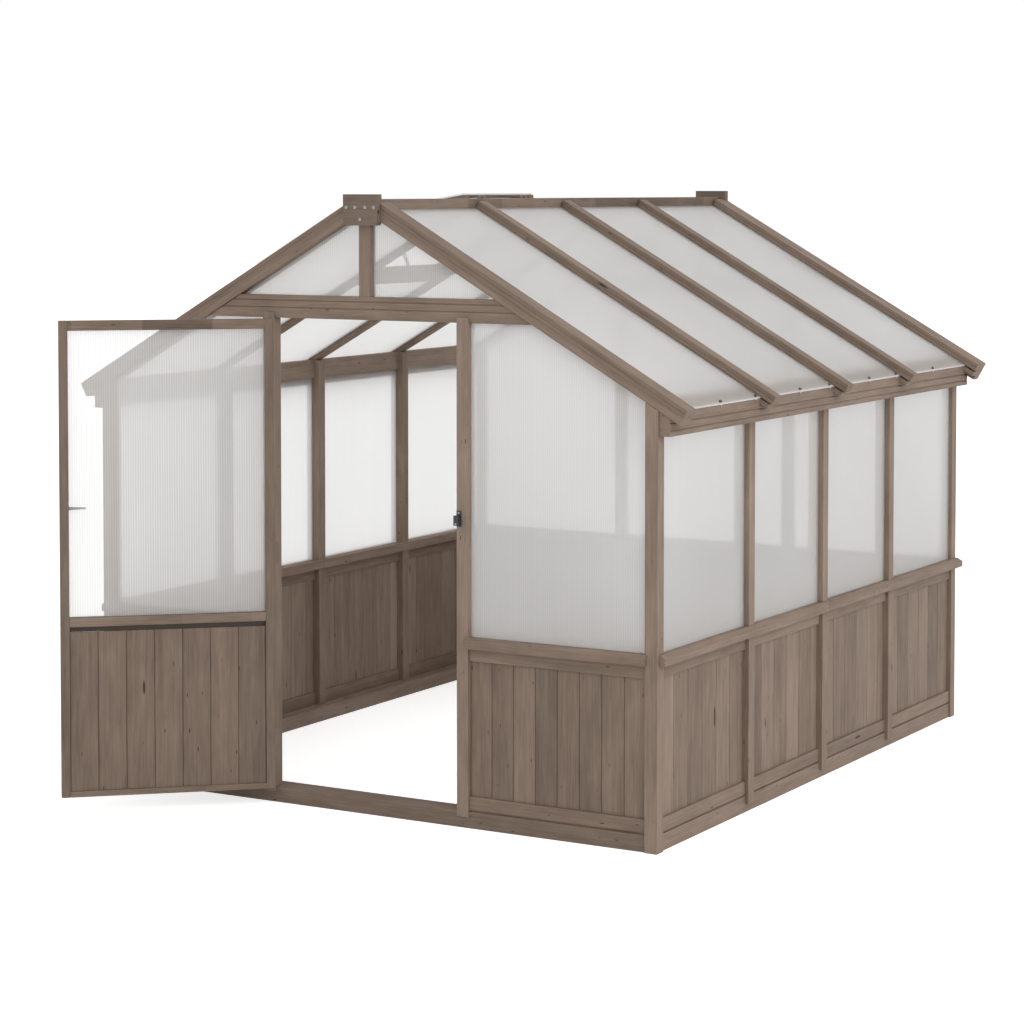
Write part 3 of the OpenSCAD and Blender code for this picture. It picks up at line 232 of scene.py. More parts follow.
def per_patch(size: tuple[float, float]) -> tuple[float, float, float]:
    """Turns the size of a patch into the scale at which it measures one unit.

    Args:
        size: Length and width of the patch in millimetres.

    Returns:
        The scale along, across and into the wood.
    """
    along, wide = (1.0 / (side * MM) for side in size)
    return (along, wide, wide)


@dataclass(frozen=True)
class StainedCedar:
    """Planed cedar under a matt grey-brown stain.

    The stain evens the wood out, so the growth rings show as soft lengthwise streaks,
    with small dark knots and short checks. Each board has its own depth of colour, and
    long rails are finger-jointed from short blocks. The sheen is low. Sizes are in
    millimetres; a pair is a length along the grain and a width across it.

    Attributes:
        pale: Colour between the rings.
        mean: Colour of the stain on plain wood.
        dark: Colour of the late rings.
        knot_and_shade: Colour of knots and checks, and the darkest stop of the tone, which the
            painted shade of recesses reaches.
        stops: Depths of tone at which those four colours lie.
        cool: Colour of the greener boards.
        cool_share: How far the darkest boards turn to it.
        cool_tones: Tones at which they start to turn and have turned.
        ring: Spacing of the growth rings, drawn wide enough to show.
        wander: How far the rings wander about their pith.
        patch: Size of the soft darker patches.
        band: Size of the slow bands.
        fibre: Size of the fibre streaks, drawn wide enough to show.
        band_share: How much the bands cover of the patches.
        fibre_share: How much the fibres cover of both.
        ring_share: How much the rings cover of all three.
        check: Size of the cells that may hold a check.
        check_rarity: Share of those cells that stay plain.
        knots: Size of the cells that may hold a knot.
        knot_rarity: Share of those cells that stay plain.
        spot_reach: Least and largest radius of a spot, as shares of a cell's width.
        spot_edge: Depths inside a spot's edge at which it starts and is darkest.
        spot_depth: How dark a knot or check gets.
        block: Length of a finger-jointed block.
        block_change: Largest change of tone from plain to a block.
        roughness: Lowest and highest roughness.
        relief: Depth of the fibres' relief.
    """

    pale: str = "#9C8A7B"
    mean: str = "#867466"
    dark: str = "#5D4D42"
    knot_and_shade: str = "#2E2620"
    stops: tuple[float, ...] = (0.28, 0.49, 0.82, 1.0)
    cool: str = "#80766A"
    cool_share: float = 0.25
    cool_tones: tuple[float, float] = (0.1, 0.3)
    ring: float = 5.0
    wander: float = 14.0
    patch: tuple[float, float] = (260.0, 70.0)
    band: tuple[float, float] = (700.0, 22.0)
    fibre: tuple[float, float] = (120.0, 4.0)
    band_share: float = 0.42
    fibre_share: float = 0.4
    ring_share: float = 0.07
    check: tuple[float, float] = (70.0, 15.0)
    check_rarity: float = 0.72
    knots: tuple[float, float] = (230.0, 46.0)
    knot_rarity: float = 0.8
    spot_reach: tuple[float, float] = (-0.02, 0.17)
    spot_edge: tuple[float, float] = (-0.02, 0.04)
    spot_depth: float = 0.9
    block: float = 260.0
    block_change: float = 0.14
    roughness: tuple[float, float] = (0.54, 0.74)
    relief: float = 0.6

    def make(self) -> Material:
        """Builds the material from the grain, tone and joint attributes of the pieces.

        Returns:
            The material.
        """
        material, tree = new_material("stained_cedar")
        grain = add_node(tree, "ShaderNodeAttribute", attribute_name="grain").outputs["Vector"]
        tone, jointed = (
            add_node(tree, "ShaderNodeAttribute", attribute_name=name).outputs["Fac"]
            for name in ("tone", "jointed")
        )
        fibre = self._streaks(tree, grain, self.fibre, 3.0)
        depth = self._streaks(tree, grain, self.patch, 2.0)
        for share, layer in (
            (self.band_share, self._streaks(tree, grain, self.band, 2.0)),
            (self.fibre_share, fibre),
            (self.ring_share, self._rings(tree, grain)),
        ):
            mixed = add_node(
                tree, "ShaderNodeMix", (0, share), (2, depth), (3, layer), data_type="FLOAT"
            )
            depth = mixed.outputs[0]
        # The tone holds the painted shade of recesses too, which carries the colour towards the
        # darkest stop.
        for change in (tone, self._blocks(tree, grain, jointed)):
            added = add_node(tree, "ShaderNodeMath", (0, depth), (1, change), operation="ADD")
            depth = added.outputs[0]
        colours = (self.pale, self.mean, self.dark, self.knot_and_shade)
        base = add_node(tree, "ShaderNodeValToRGB", ("Fac", depth))
        set_stops(base.color_ramp.elements, [(at, linear(c)) for at, c in zip(self.stops, colours)])
        cooler = add_node(
            tree, "ShaderNodeMapRange", ("Value", tone), ("From Min", self.cool_tones[0]),
            ("From Max", self.cool_tones[1]), ("To Max", self.cool_share),
        )
        checks = self._spots(tree, grain, self.check, self.check_rarity)
        knots = self._spots(tree, grain, self.knots, self.knot_rarity)
        dark = add_node(
            tree, "ShaderNodeMath", (0, checks), (1, knots), operation="MAXIMUM"
        ).outputs[0]
        colour = base.outputs[0]
        for share, over in ((cooler.outputs[0], self.cool), (dark, self.knot_and_shade)):
            mixed = add_node(
                tree, "ShaderNodeMix", (0, share), (6, colour), (7, linear(over)), data_type="RGBA"
            )
            colour = mixed.outputs[2]
        rough = add_node(
            tree, "ShaderNodeMapRange", ("Value", fibre), ("To Min", self.roughness[0]),
            ("To Max", self.roughness[1]),
        )
        relief = add_node(tree, "ShaderNodeMath", (0, fibre), (1, dark), operation="SUBTRACT")
        bump = add_node(
            tree, "ShaderNodeBump", ("Strength", 0.35), ("Distance", self.relief * MM),
            ("Height", relief),
        )
        surface = add_node(
            tree, "ShaderNodeBsdfPrincipled", ("Base Color", colour), ("Roughness", rough),
            ("IOR", 1.45), ("Specular IOR Level", 0.3), ("Normal", bump),
        )
        add_node(tree, "ShaderNodeOutputMaterial", ("Surface", surface))
        return material

    def _rings(self, tree: Tree, grain: Socket) -> Socket:
        """Adds growth rings about a pith that wanders slowly along the board.

        Args:
            tree: The material's tree.
            grain: Place in the wood: along, across and depth.

        Returns:
            A value that is high in the late wood.
        """
        slow, across = (1.2, 5.0, 5.0), (0.0, 1.0, 1.0)
        wander = tuple(self.wander * MM * part for part in across)
        sway_at = add_node(
            tree, "ShaderNodeVectorMath", (0, grain), (1, slow), operation="MULTIPLY"
        )
        sway = add_node(
            tree, "ShaderNodeTexNoise", ("Vector", sway_at), ("Scale", 1.0), ("Detail", 2.0)
        )
        moved = add_node(
            tree, "ShaderNodeVectorMath", (0, sway.outputs["Color"]), (1, wander), (2, grain),
            operation="MULTIPLY_ADD",
        )
        flat = add_node(tree, "ShaderNodeVectorMath", (0, moved), (1, across), operation="MULTIPLY")
        radius = add_node(tree, "ShaderNodeVectorMath", (0, flat), operation="LENGTH")
        turns = add_node(
            tree, "ShaderNodeMath", (0, radius.outputs["Value"]), (1, 1.0 / (self.ring * MM)),
            operation="MULTIPLY",
        )
        saw = add_node(tree, "ShaderNodeMath", (0, turns), operation="FRACT")
        wood = add_node(tree, "ShaderNodeValToRGB", ("Fac", saw))
        levels = ((0.0, 0.35), (0.55, 0.5), (0.9, 0.9), (1.0, 0.35))
        set_stops(wood.color_ramp.elements, [(at, grey(level)) for at, level in levels])
        return wood.outputs[0]

    def _streaks(
        self, tree: Tree, grain: Socket, size: tuple[float, float], detail: float
    ) -> Socket:
        """Adds long thin streaks along the grain.

        Args:
            tree: The material's tree.
            grain: Place in the wood: along, across and depth.
            size: Length and width of a streak in millimetres.
            detail: How many finer layers the streaks have.

        Returns:
            A value about one half.
        """
        place = add_node(
            tree, "ShaderNodeVectorMath", (0, grain), (1, per_patch(size)), operation="MULTIPLY"
        )
        noise = add_node(
            tree, "ShaderNodeTexNoise", ("Vector", place), ("Scale", 1.0), ("Detail", detail),
            ("Roughness", 0.65),
        )
        return noise.outputs[0]

    def _blocks(self, tree: Tree, grain: Socket, jointed: Socket) -> Socket:
        """Adds the change of tone from block to block of a finger-jointed rail.

        Args:
            tree: The material's tree.
            grain: Place in the wood: along, across and depth.
            jointed: 1 on a finger-jointed piece and 0 elsewhere.

        Returns:
            A value about zero.
        """
        parts = add_node(tree, "ShaderNodeSeparateXYZ", (0, grain))
        count = add_node(
            tree, "ShaderNodeMath", (0, parts.outputs["X"]), (1, 1.0 / (self.block * MM)),
            operation="MULTIPLY",
        )
        whole = add_node(tree, "ShaderNodeMath", (0, count), operation="FLOOR")
        chance = add_node(tree, "ShaderNodeTexWhiteNoise", ("W", whole), noise_dimensions="1D")
        change = add_node(
            tree, "ShaderNodeMapRange", ("Value", chance.outputs["Value"]),
            ("To Min", -self.block_change), ("To Max", self.block_change),
        )
        block = add_node(tree, "ShaderNodeMath", (0, change), (1, jointed), operation="MULTIPLY")
        return block.outputs[0]

    def _spots(self, tree: Tree, grain: Socket, size: tuple[float, float], rarity: float) -> Socket:
        """Adds knots or checks: some cells of a stretched pattern hold one dark spot.

        Args:
            tree: The material's tree.
            grain: Place in the wood: along, across and depth.
            size: Length and width of a cell in millimetres.
            rarity: Share of the cells that stay plain.

        Returns:
            How dark each place is, from 0 to 1.
        """
        place = add_node(
            tree, "ShaderNodeVectorMath", (0, grain), (1, per_patch(size)), operation="MULTIPLY"
        )
        cells = add_node(tree, "ShaderNodeTexVoronoi", ("Vector", place), ("Scale", 1.0))
        chosen = add_node(tree, "ShaderNodeSeparateColor", (0, cells.outputs["Color"]))
        reach = add_node(
            tree, "ShaderNodeMapRange", ("Value", chosen), ("From Min", rarity),
            ("To Min", self.spot_reach[0]), ("To Max", self.spot_reach[1]),
        )
        spot = add_node(
            tree, "ShaderNodeMath", (0, reach), (1, cells.outputs["Distance"]), operation="SUBTRACT"
        )
        dark = add_node(
            tree, "ShaderNodeMapRange", ("Value", spot), ("From Min", self.spot_edge[0]),
            ("From Max", self.spot_edge[1]), ("To Max", self.spot_depth),
        )
        return dark.outputs[0]


@dataclass(frozen=True)
class TwinWall:
    """Extruded opal twin-wall polycarbonate sheet.

    Two thin skins with ribs between them: milky white, with fine flutes that show as
    faint lines, and dark things behind it show through as soft grey.

    Attributes:
        tint: Colour of the sheet.
        shaded: Colour of its milkier parts.
        pitch: Distance between the ribs in millimetres.
        rib_start: Height in the wave across the flutes at which a rib starts.
        rib_cover: How much more of the view a rib hides.
        rib_relief: Height of the ribs' relief in millimetres.
        clouds: How many clouds of tint there are to a metre.
        through: Share of the scattered light that comes from behind.
        roughness: Roughness of the satin skins.
    """

    tint: str = "#FCFCFC"
    shaded: str = "#F7F7F6"
    pitch: float = 9.0
    rib_start: float = 0.2
    rib_cover: float = 0.06
    rib_relief: float = 0.25
    clouds: float = 2.2
    through: float = 0.82
    roughness: float = 0.32

    def make(self) -> Material:
        """Builds the material from the flute and milk attributes of the sheets.

        Returns:
            The material.
        """
        material, tree = new_material("opal_twin_wall_polycarbonate")
        flute, hidden = (
            add_node(tree, "ShaderNodeAttribute", attribute_name=name).outputs["Fac"]
            for name in ("flute", "milk")
        )
        turns = add_node(
            tree, "ShaderNodeMath", (0, flute), (1, math.tau / (self.pitch * MM)),
            operation="MULTIPLY",
        )
        wave = add_node(tree, "ShaderNodeMath", (0, turns), operation="COSINE")
        rib = add_node(tree, "ShaderNodeMapRange", ("Value", wave), ("From Min", self.rib_start))
        place = add_node(tree, "ShaderNodeTexCoord")
        cloud = add_node(
            tree, "ShaderNodeTexNoise", ("Vector", place.outputs["Object"]), ("Scale", self.clouds),
            ("Detail", 2.0),
        )
        tint = add_node(
            tree, "ShaderNodeMix", (0, cloud.outputs["Fac"]), (6, linear(self.tint)),
            (7, linear(self.shaded)), data_type="RGBA",
        )
        bump = add_node(
            tree, "ShaderNodeBump", ("Strength", 0.25), ("Distance", self.rib_relief * MM),
            ("Height", rib),
        )
        skin = add_node(
            tree, "ShaderNodeBsdfPrincipled", ("Base Color", tint.outputs[2]),
            ("Roughness", self.roughness), ("IOR", 1.58), ("Specular IOR Level", 0.35),
            ("Normal", bump),
        )
        back = add_node(tree, "ShaderNodeBsdfTranslucent", ("Color", tint.outputs[2]))
        milk = add_node(tree, "ShaderNodeMixShader", (0, self.through), (1, skin), (2, back))
        clear = add_node(tree, "ShaderNodeBsdfTransparent")
        cover = add_node(
            tree, "ShaderNodeMath", (0, rib), (1, self.rib_cover), (2, hidden),
            operation="MULTIPLY_ADD",
        )
        sheet = add_node(tree, "ShaderNodeMixShader", (0, cover), (1, clear), (2, milk))
        add_node(tree, "ShaderNodeOutputMaterial", ("Surface", sheet))
        return material


@dataclass(frozen=True)
class Metal:
    """Plated or painted steel fitting.

    Attributes:
        name: What the finish is.
        light: Colour of the clean surface.
        dull: Colour of the worn or dusty surface.
        metallic: 1 for bare plate and 0 for paint.
        low: Lowest roughness.
        high: Highest roughness.
        mottle: Size of the mottling in millimetres.
        relief: Depth of its relief in millimetres.
    """

    name: str
    light: str
    dull: str
    metallic: float
    low: float
    high: float
    mottle: float = 6.0
    relief: float = 0.1

    def make(self) -> Material:
        """Builds the material on the pieces' own coordinates.

        Returns:
            The material.
        """
        material, tree = new_material(self.name)
        place = add_node(tree, "ShaderNodeTexCoord").outputs["Object"]
        noise = add_node(
            tree, "ShaderNodeTexNoise", ("Vector", place), ("Scale", 1.0 / (self.mottle * MM)),
            ("Detail", 4.0),
        )
        spots = noise.outputs["Fac"]
        colour = add_node(
            tree, "ShaderNodeMix", (0, spots), (6, linear(self.light)), (7, linear(self.dull)),
            data_type="RGBA",
        )
        rough = add_node(
            tree, "ShaderNodeMapRange", ("Value", spots), ("From Min", 0.3), ("From Max", 0.7),
            ("To Min", self.low), ("To Max", self.high),
        )
        bump = add_node(
            tree, "ShaderNodeBump", ("Strength", 0.15), ("Distance", self.relief * MM),
            ("Height", spots),
        )
        surface = add_node(
            tree, "ShaderNodeBsdfPrincipled", ("Base Color", colour.outputs[2]),
            ("Metallic", self.metallic), ("Roughness", rough), ("Normal", bump),
        )
        add_node(tree, "ShaderNodeOutputMaterial", ("Surface", surface))
        return material


ZINC = Metal("zinc_plated_steel", "#A5A6A6", "#85878A", 1.0, 0.3, 0.5)
BROWN_COAT = Metal("brown_coated_steel", "#7E6E60", "#6C5D51", 0.0, 0.45, 0.6, 3.0)
BLACK = Metal("black_powder_coated_steel", "#232427", "#303236", 0.0, 0.38, 0.55, 3.0)


class ClipPart(Enum):
    """Parts of a roof clip, by the value that their faces carry."""

    KNOB = 0.0
    STRAP = 0.5
    TAB = 1.0


@dataclass(frozen=True)
class CoatedClip:
    """Steel clips: a grey knob, a strap coated white as the sheet, a tab brown as the beam.

    Attributes:
        knob: Colour of the knob.
        strap: Colour of the strap that lies on the sheet.
        tab: Colour of the tab on the timber.
        roughness: Lowest and highest roughness of the coat.
        mottle: Size of its mottling in millimetres.
    """

    knob: str = "#46494B"
    strap: str = "#DADAD7"
    tab: str = "#86776A"
    roughness: tuple[float, float] = (0.4, 0.6)
    mottle: float = 3.0

    def make(self) -> Material:
        """Builds the material from the value that each face carries.

        Returns:
            The material.
        """
        material, tree = new_material("coated_clip_steel")
        # A colour starts halfway between the values of two parts.
        steps = zip((0.0, 0.25, 0.75), (self.knob, self.strap, self.tab))
        part = add_node(tree, "ShaderNodeAttribute", attribute_name="part").outputs["Fac"]
        colour = add_node(tree, "ShaderNodeValToRGB", ("Fac", part))
        colour.color_ramp.interpolation = "CONSTANT"
        set_stops(colour.color_ramp.elements, [(at, linear(c)) for at, c in steps])
        place = add_node(tree, "ShaderNodeTexCoord").outputs["Object"]
        spots = add_node(
            tree, "ShaderNodeTexNoise", ("Vector", place), ("Scale", 1.0 / (self.mottle * MM))
        )
        rough = add_node(
            tree, "ShaderNodeMapRange", ("Value", spots.outputs["Fac"]),
            ("To Min", self.roughness[0]), ("To Max", self.roughness[1]),
        )
        surface = add_node(
            tree, "ShaderNodeBsdfPrincipled", ("Base Color", colour.outputs["Color"]),
            ("Roughness", rough),
        )
        add_node(tree, "ShaderNodeOutputMaterial", ("Surface", surface))
        return material


@dataclass
class Finishes:
    """The part's materials, each made once.

    Attributes:
        timber: Stained cedar.
        sheet: Twin-wall sheet.
        zinc: Plated steel.
        brown: Steel coated to match the timber.
        clip: Coated steel of the roof clips.
        black: Black coated steel.
    """

    timber: Material = field(default_factory=StainedCedar().make)
    sheet: Material = field(default_factory=TwinWall().make)
    zinc: Material = field(default_factory=ZINC.make)
    brown: Material = field(default_factory=BROWN_COAT.make)
    clip: Material = field(default_factory=CoatedClip().make)
    black: Material = field(default_factory=BLACK.make)


def clean_copy(node: str) -> Mesh:
    """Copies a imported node's mesh with joined corners and whole flat faces.

    Args:
        node: Name of the node.

    Returns:
        The copy, in the model's frame.
    """
    mesh = bmesh.new()
    mesh.from_mesh(FRAME["nodes"][node].data)
    bmesh.ops.remove_doubles(mesh, verts=mesh.verts, dist=WELD)
    bmesh.ops.dissolve_limit(mesh, angle_limit=FLAT, verts=mesh.verts, edges=mesh.edges)
    return mesh


def box_of(places: list[Vector]) -> tuple[Vector, Vector]:
    """Returns the lowest and the highest corner of the box around some places."""
    low, high = (Vector(pick(p[i] for p in places) for i in range(3)) for pick in (min, max))
    return low, high


def middle_of(group: list[Vertex]) -> Vector:
    """Returns the mean place of a solid's vertices."""
    return sum((v.co for v in group), Vector()) / len(group)


def faces_of(group: list[Vertex]) -> list[Face]:
    """Returns the faces of a solid, in the same order on each run."""
    return list(dict.fromkeys(face for vert in group for face in vert.link_faces))


def round_edges(mesh: Mesh, edges: list[bmesh.types.BMEdge], width: float) -> None:
    """Rounds some edges of a mesh.

    Args:
        mesh: Mesh in metres.
        edges: Its edges that are rounded.
        width: Width of the rounding in millimetres.
    """
    if edges:
        bmesh.ops.bevel(
            mesh, geom=edges, offset=width * MM, offset_type="OFFSET", segments=2, profile=0.6,
            affect="EDGES", clamp_overlap=True,
        )


def solids_of(mesh: Mesh) -> list[list[Vertex]]:
    """Finds the separate solids of a mesh.

    Args:
        mesh: Mesh of one or more closed solids.

    Returns:
        The vertices of each solid.
    """
    seen: set[Vertex] = set()
    found = []
    for start in mesh.verts:
        if start in seen:
            continue
        seen.add(start)
        stack, group = [start], []
        while stack:
            vert = stack.pop()
            group.append(vert)
            for edge in vert.link_edges:
                other = edge.other_vert(vert)
                if other not in seen:
                    seen.add(other)
                    stack.append(other)
        found.append(group)
    return found


@dataclass
class TimberSet:
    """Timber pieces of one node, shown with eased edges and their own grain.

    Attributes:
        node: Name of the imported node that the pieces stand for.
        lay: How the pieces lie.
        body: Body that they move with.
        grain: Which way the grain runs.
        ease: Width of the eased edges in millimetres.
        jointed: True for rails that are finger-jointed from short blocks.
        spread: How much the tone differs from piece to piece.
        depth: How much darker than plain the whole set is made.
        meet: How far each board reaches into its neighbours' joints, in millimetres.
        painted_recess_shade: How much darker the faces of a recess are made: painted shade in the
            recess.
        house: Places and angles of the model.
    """

    node: str
    lay: Lay = Lay.LEVEL
    body: str = "house"
    grain: Grain = Grain.LONGEST
    ease: float = 2.0
    jointed: bool = False
    spread: float = 0.03
    depth: float = 0.0
    meet: float = 0.0
    painted_recess_shade: float = 0.0
    house: House = field(default_factory=House)

    def build(self, timber: Material) -> Piece:
        """Builds and dresses the pieces.

        Args:
            timber: Their material.

        Returns:
            The new object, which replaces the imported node.
        """
        whole = clean_copy(self.node)
        chance = random.Random(self.node)
        out = bmesh.new()
        along = out.verts.layers.float_vector.new("grain")
        tone = out.verts.layers.float.new("tone")
        joints = out.verts.layers.float.new("jointed")
        for group in solids_of(whole):
            self._add_solid(group, out, along, tone, chance)
        for vert in out.verts:
            vert[joints] = float(self.jointed)
        whole.free()
        piece = object_from(out, self.node + "_timber", timber)
        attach(piece, self.body)
        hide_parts(self.node)
        return piece

    def _add_solid(
        self,
        group: list[Vertex],
        out: Mesh,
        along: Layer,
        tone: Layer,
        chance: random.Random,
    ) -> None:
        """Adds one solid with eased edges, its grain, its tone and the painted shade of its
        recesses.

        Args:
            group: The solid's vertices.
            out: Mesh that gets the solid.
            along: Layer for the place in the wood.
            tone: Layer for how dark the piece is, with painted shade added in its recesses.
            chance: Source of the differences between pieces.
        """
        middle = middle_of(group)
        to_lay = self.house.to_lay(self.lay, middle.x > 0)
        one = bmesh.new()
        made = {v: one.verts.new(to_lay @ v.co) for v in group}
        for face in faces_of(group):
            one.faces.new([made[v] for v in face.verts])
        self._ease_edges(one)
        low, high = box_of([v.co for v in one.verts])
        size = high - low
        axis = 2 if self.grain is Grain.UPRIGHT else max(range(3), key=lambda i: size[i])
        others = sorted((i for i in range(3) if i != axis), key=lambda i: -size[i])
        # The pith lies beside the piece, and the pieces come from different trees.
        pith = (chance.uniform(-0.06, 0.06), chance.uniform(0.02, 0.12))
        start = chance.uniform(0.0, 40.0)
        shade = self.depth + chance.gauss(0.0, self.spread)
        broad, deep = others
        back = to_lay.inverted()
        centre = (low + high) / 2
        kept = {}
        for vert in one.verts:
            local = vert.co - centre
            if abs(local[broad]) > size[broad] / 2 - SAME:
                vert.co[broad] += math.copysign(self.meet * MM, local[broad])
            fresh = out.verts.new(back @ vert.co)
            fresh[along] = Vector(
                (start + local[axis], local[broad] + pith[0], local[deep] + pith[1])
            )
            # Vertices set back from both broad faces lie in a recess, and their tone gets painted
            # shade.
            recessed = abs(local[deep]) < size[deep] / 2 - RECESS
            fresh[tone] = shade + (self.painted_recess_shade if recessed else 0.0)
            kept[vert] = fresh
        for face in one.faces:
            out.faces.new([kept[v] for v in face.verts])
        one.free()

    def _ease_edges(self, one: Mesh) -> None:
        """Eases the outer edges of one solid that lies square to the axes.

        Args:
            one: Mesh of the solid.
        """
        one.normal_update()
        low, high = box_of([v.co for v in one.verts])

        def outer(face: Face) -> bool:
            """Tells whether a face lies on the solid's outer box or slants."""
            axis = max(range(3), key=lambda i: abs(face.normal[i]))
            if abs(face.normal[axis]) < SQUARE:
                return True
            place = face.calc_center_median()[axis]
            return min(abs(place - low[axis]), abs(place - high[axis])) < SAME

        chosen = []
        for edge in one.edges:
            if len(edge.link_faces) != 2 or edge.calc_length() < 4 * self.ease * MM:
                continue
            if not edge.is_convex or edge.calc_face_angle(0.0) < SHARP:
                continue
            if all(outer(face) for face in edge.link_faces):
                chosen.append(edge)
        round_edges(one, chosen, self.ease)


def add_object(name: str, data: bpy.types.ID) -> Piece:
    """Adds an object to the scene.

    Args:
        name: Name of the object.
        data: Its mesh, lamp or camera.

    Returns:
        The object, at the origin.
    """
    piece = bpy.data.objects.new(name, data)
    bpy.context.scene.collection.objects.link(piece)
    return piece


def object_from(mesh: Mesh, name: str, material: Material) -> Piece:
    """Makes an object of a mesh.

    Args:
        mesh: Mesh in the model's frame, freed here.
        name: Name of the object.
        material: Its material.

    Returns:
        The object, at the origin.
    """
    data = bpy.data.meshes.new(name)
    mesh.to_mesh(data)
    mesh.free()
    data.materials.append(material)
    return add_object(name, data)


@dataclass
class SheetSet:
    """Twin-wall sheets of one node.

    Attributes:
        node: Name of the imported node.
        lay: How the sheets lie.
        across: Axis across the flutes, in the sheets' own lay.
        body: Body that they move with.
        milk: How much of the view each surface of the sheet hides between the ribs.
        milk_left: The same for the sheets left of the middle, where they differ.
        house: Places and angles of the model.
    """

    node: str
    lay: Lay
    across: int
    body: str = "house"
    milk: float = 0.58
    milk_left: float | None = None
    house: House = field(default_factory=House)

    def build(self, sheet: Material) -> Piece:
        """Builds the sheets with the place across their flutes as an attribute.

        Args:
            sheet: Their material.

        Returns:
            The new object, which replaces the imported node.
        """
        mesh = clean_copy(self.node)
        flute = mesh.verts.layers.float.new("flute")
        milk = mesh.verts.layers.float.new("milk")
        for group in solids_of(mesh):
            middle = middle_of(group)
            to_lay = self.house.to_lay(self.lay, middle.x > 0)
            differs = self.milk_left is not None and middle.x < 0
            for vert in group:
                vert[flute] = (to_lay @ vert.co)[self.across]
                vert[milk] = self.milk_left if differs else self.milk
        piece = object_from(mesh, self.node + "_sheet", sheet)
        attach(piece, self.body)
        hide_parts(self.node)
        return piece


@dataclass
class MetalSet:
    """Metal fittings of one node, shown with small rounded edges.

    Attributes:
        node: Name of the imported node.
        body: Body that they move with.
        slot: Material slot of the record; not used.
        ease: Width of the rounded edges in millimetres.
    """

    node: str
    body: str
    slot: str
    ease: float = 0.4

    def build(self, metal: Material) -> Piece:
        """Builds the fittings.

        Args:
            metal: Their material.

        Returns:
            The new object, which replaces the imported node.
        """
        mesh = clean_copy(self.node)
        mesh.normal_update()
        sharp = [
            edge for edge in mesh.edges
            if len(edge.link_faces) == 2 and edge.is_convex and edge.calc_face_angle(0.0) > SHARP
        ]
        round_edges(mesh, sharp, self.ease)
        piece = object_from(mesh, self.node + "_metal", metal)
        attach(piece, self.body)
        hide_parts(self.node)
        return piece


@dataclass
class ClipSet:
    """Clips that hold the lower edges of the roof sheets.

    Attributes:
        node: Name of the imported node.
        tab_height: Height of the tabs in millimetres, with the bend above them.
        house: Places and angles of the model.
    """

    node: str = "sheet_clips"
    tab_height: float = 8.5
    house: House = field(default_factory=House)

    def build(self, metal: Material) -> Piece:
        """Builds the clips and marks the part that each face belongs to.

        Args:
            metal: Their material.

        Returns:
            The new object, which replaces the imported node.
        """
        mesh = clean_copy(self.node)
        mark = mesh.faces.layers.float.new("part")
        for group in solids_of(mesh):
            middle = middle_of(group)
            to_lay = self.house.to_lay(Lay.SLOPE, middle.x > 0)
            top = max((to_lay @ v.co).z for v in group)
            foot = min(v.co.z for v in group)
            for face in faces_of(group):
                if any((to_lay @ v.co).z > top - SAME for v in face.verts):
                    face[mark] = ClipPart.KNOB.value
                elif all(v.co.z < foot + self.tab_height * MM for v in face.verts):
                    face[mark] = ClipPart.TAB.value
                else:
                    face[mark] = ClipPart.STRAP.value
        piece = object_from(mesh, self.node + "_metal", metal)
        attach(piece, "house")
        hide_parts(self.node)
        return piece


@dataclass(frozen=True)
class HeadShape:
    """Sizes of one kind of bolt or screw, in millimetres.

    Attributes:
        radius: Radius of the domed head.
        height: Height of the head.
        socket: Radius of the hexagonal socket in the head.
        sink: Depth of the socket.
        shank: Radius of the shank.
        length: Length of the shank.
    """

    radius: float
    height: float
    socket: float
    sink: float
    shank: float
    length: float


APEX_BOLT = HeadShape(7.5, 4.0, 2.8, 1.8, 3.0, 28.0)
HINGE_SCREW = HeadShape(3.6, 0.5, 1.4, 0.3, 1.6, 6.0)
FLAP_SCREW = HeadShape(2.8, 0.8, 1.1, 0.5, 1.2, 6.0)

Spot = tuple[Vector, Vector]


def bolt_spots(node: str, height: float) -> list[Spot]:
    """Finds where the heads of a node's bolts meet the wood.

    Args:
        node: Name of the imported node, whose bolts lie along Y.
        height: Height of the heads in millimetres.

    Returns:
        The middle of each head's underside and the way that it faces.
    """
    mesh = clean_copy(node)
    spots = []
    for group in solids_of(mesh):
        ends = (min(v.co.y for v in group), max(v.co.y for v in group))
        middle = middle_of(group)
        reach = [
            max(abs(v.co.x - middle.x) for v in group if abs(v.co.y - end) < SAME) for end in ends
        ]
        side = 0 if reach[0] > reach[1] else 1
        facing = Vector((0.0, -1.0 if side == 0 else 1.0, 0.0))
        spots.append((Vector((middle.x, ends[side], middle.z)) - facing * height * MM, facing))
    mesh.free()
    return spots


def plate_spots(
    node: str, lay: Lay, facing: tuple[float, float, float], shares: tuple[tuple, ...]
) -> list[Spot]:
    """Finds the places of the screws on a node's plates.

    Args:
        node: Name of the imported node.
        lay: How the plates lie.
        facing: Which way the screwed face of a plate looks, in the plates' lay.
        shares: Places of the screws, as shares of that face's box.

    Returns:
        Each screw's place on the plate and the way that it faces.
    """
    mesh = clean_copy(node)
    mesh.normal_update()
    to_lay = House().to_lay(lay, False)
    back = to_lay.inverted()
    spots = []
    for group in solids_of(mesh):
        turn, way = to_lay.to_3x3(), Vector(facing)
        looking = [f for f in faces_of(group) if (turn @ f.normal).dot(way) > SQUARE]
        plate = max(looking, key=lambda f: f.calc_area())
        low, high = box_of([to_lay @ v.co for v in plate.verts])
        for share in shares:
            place = Vector(low[i] + (high[i] - low[i]) * share[i] for i in range(3))
            spots.append((back @ place, back.to_3x3() @ Vector(facing)))
    mesh.free()
    return spots


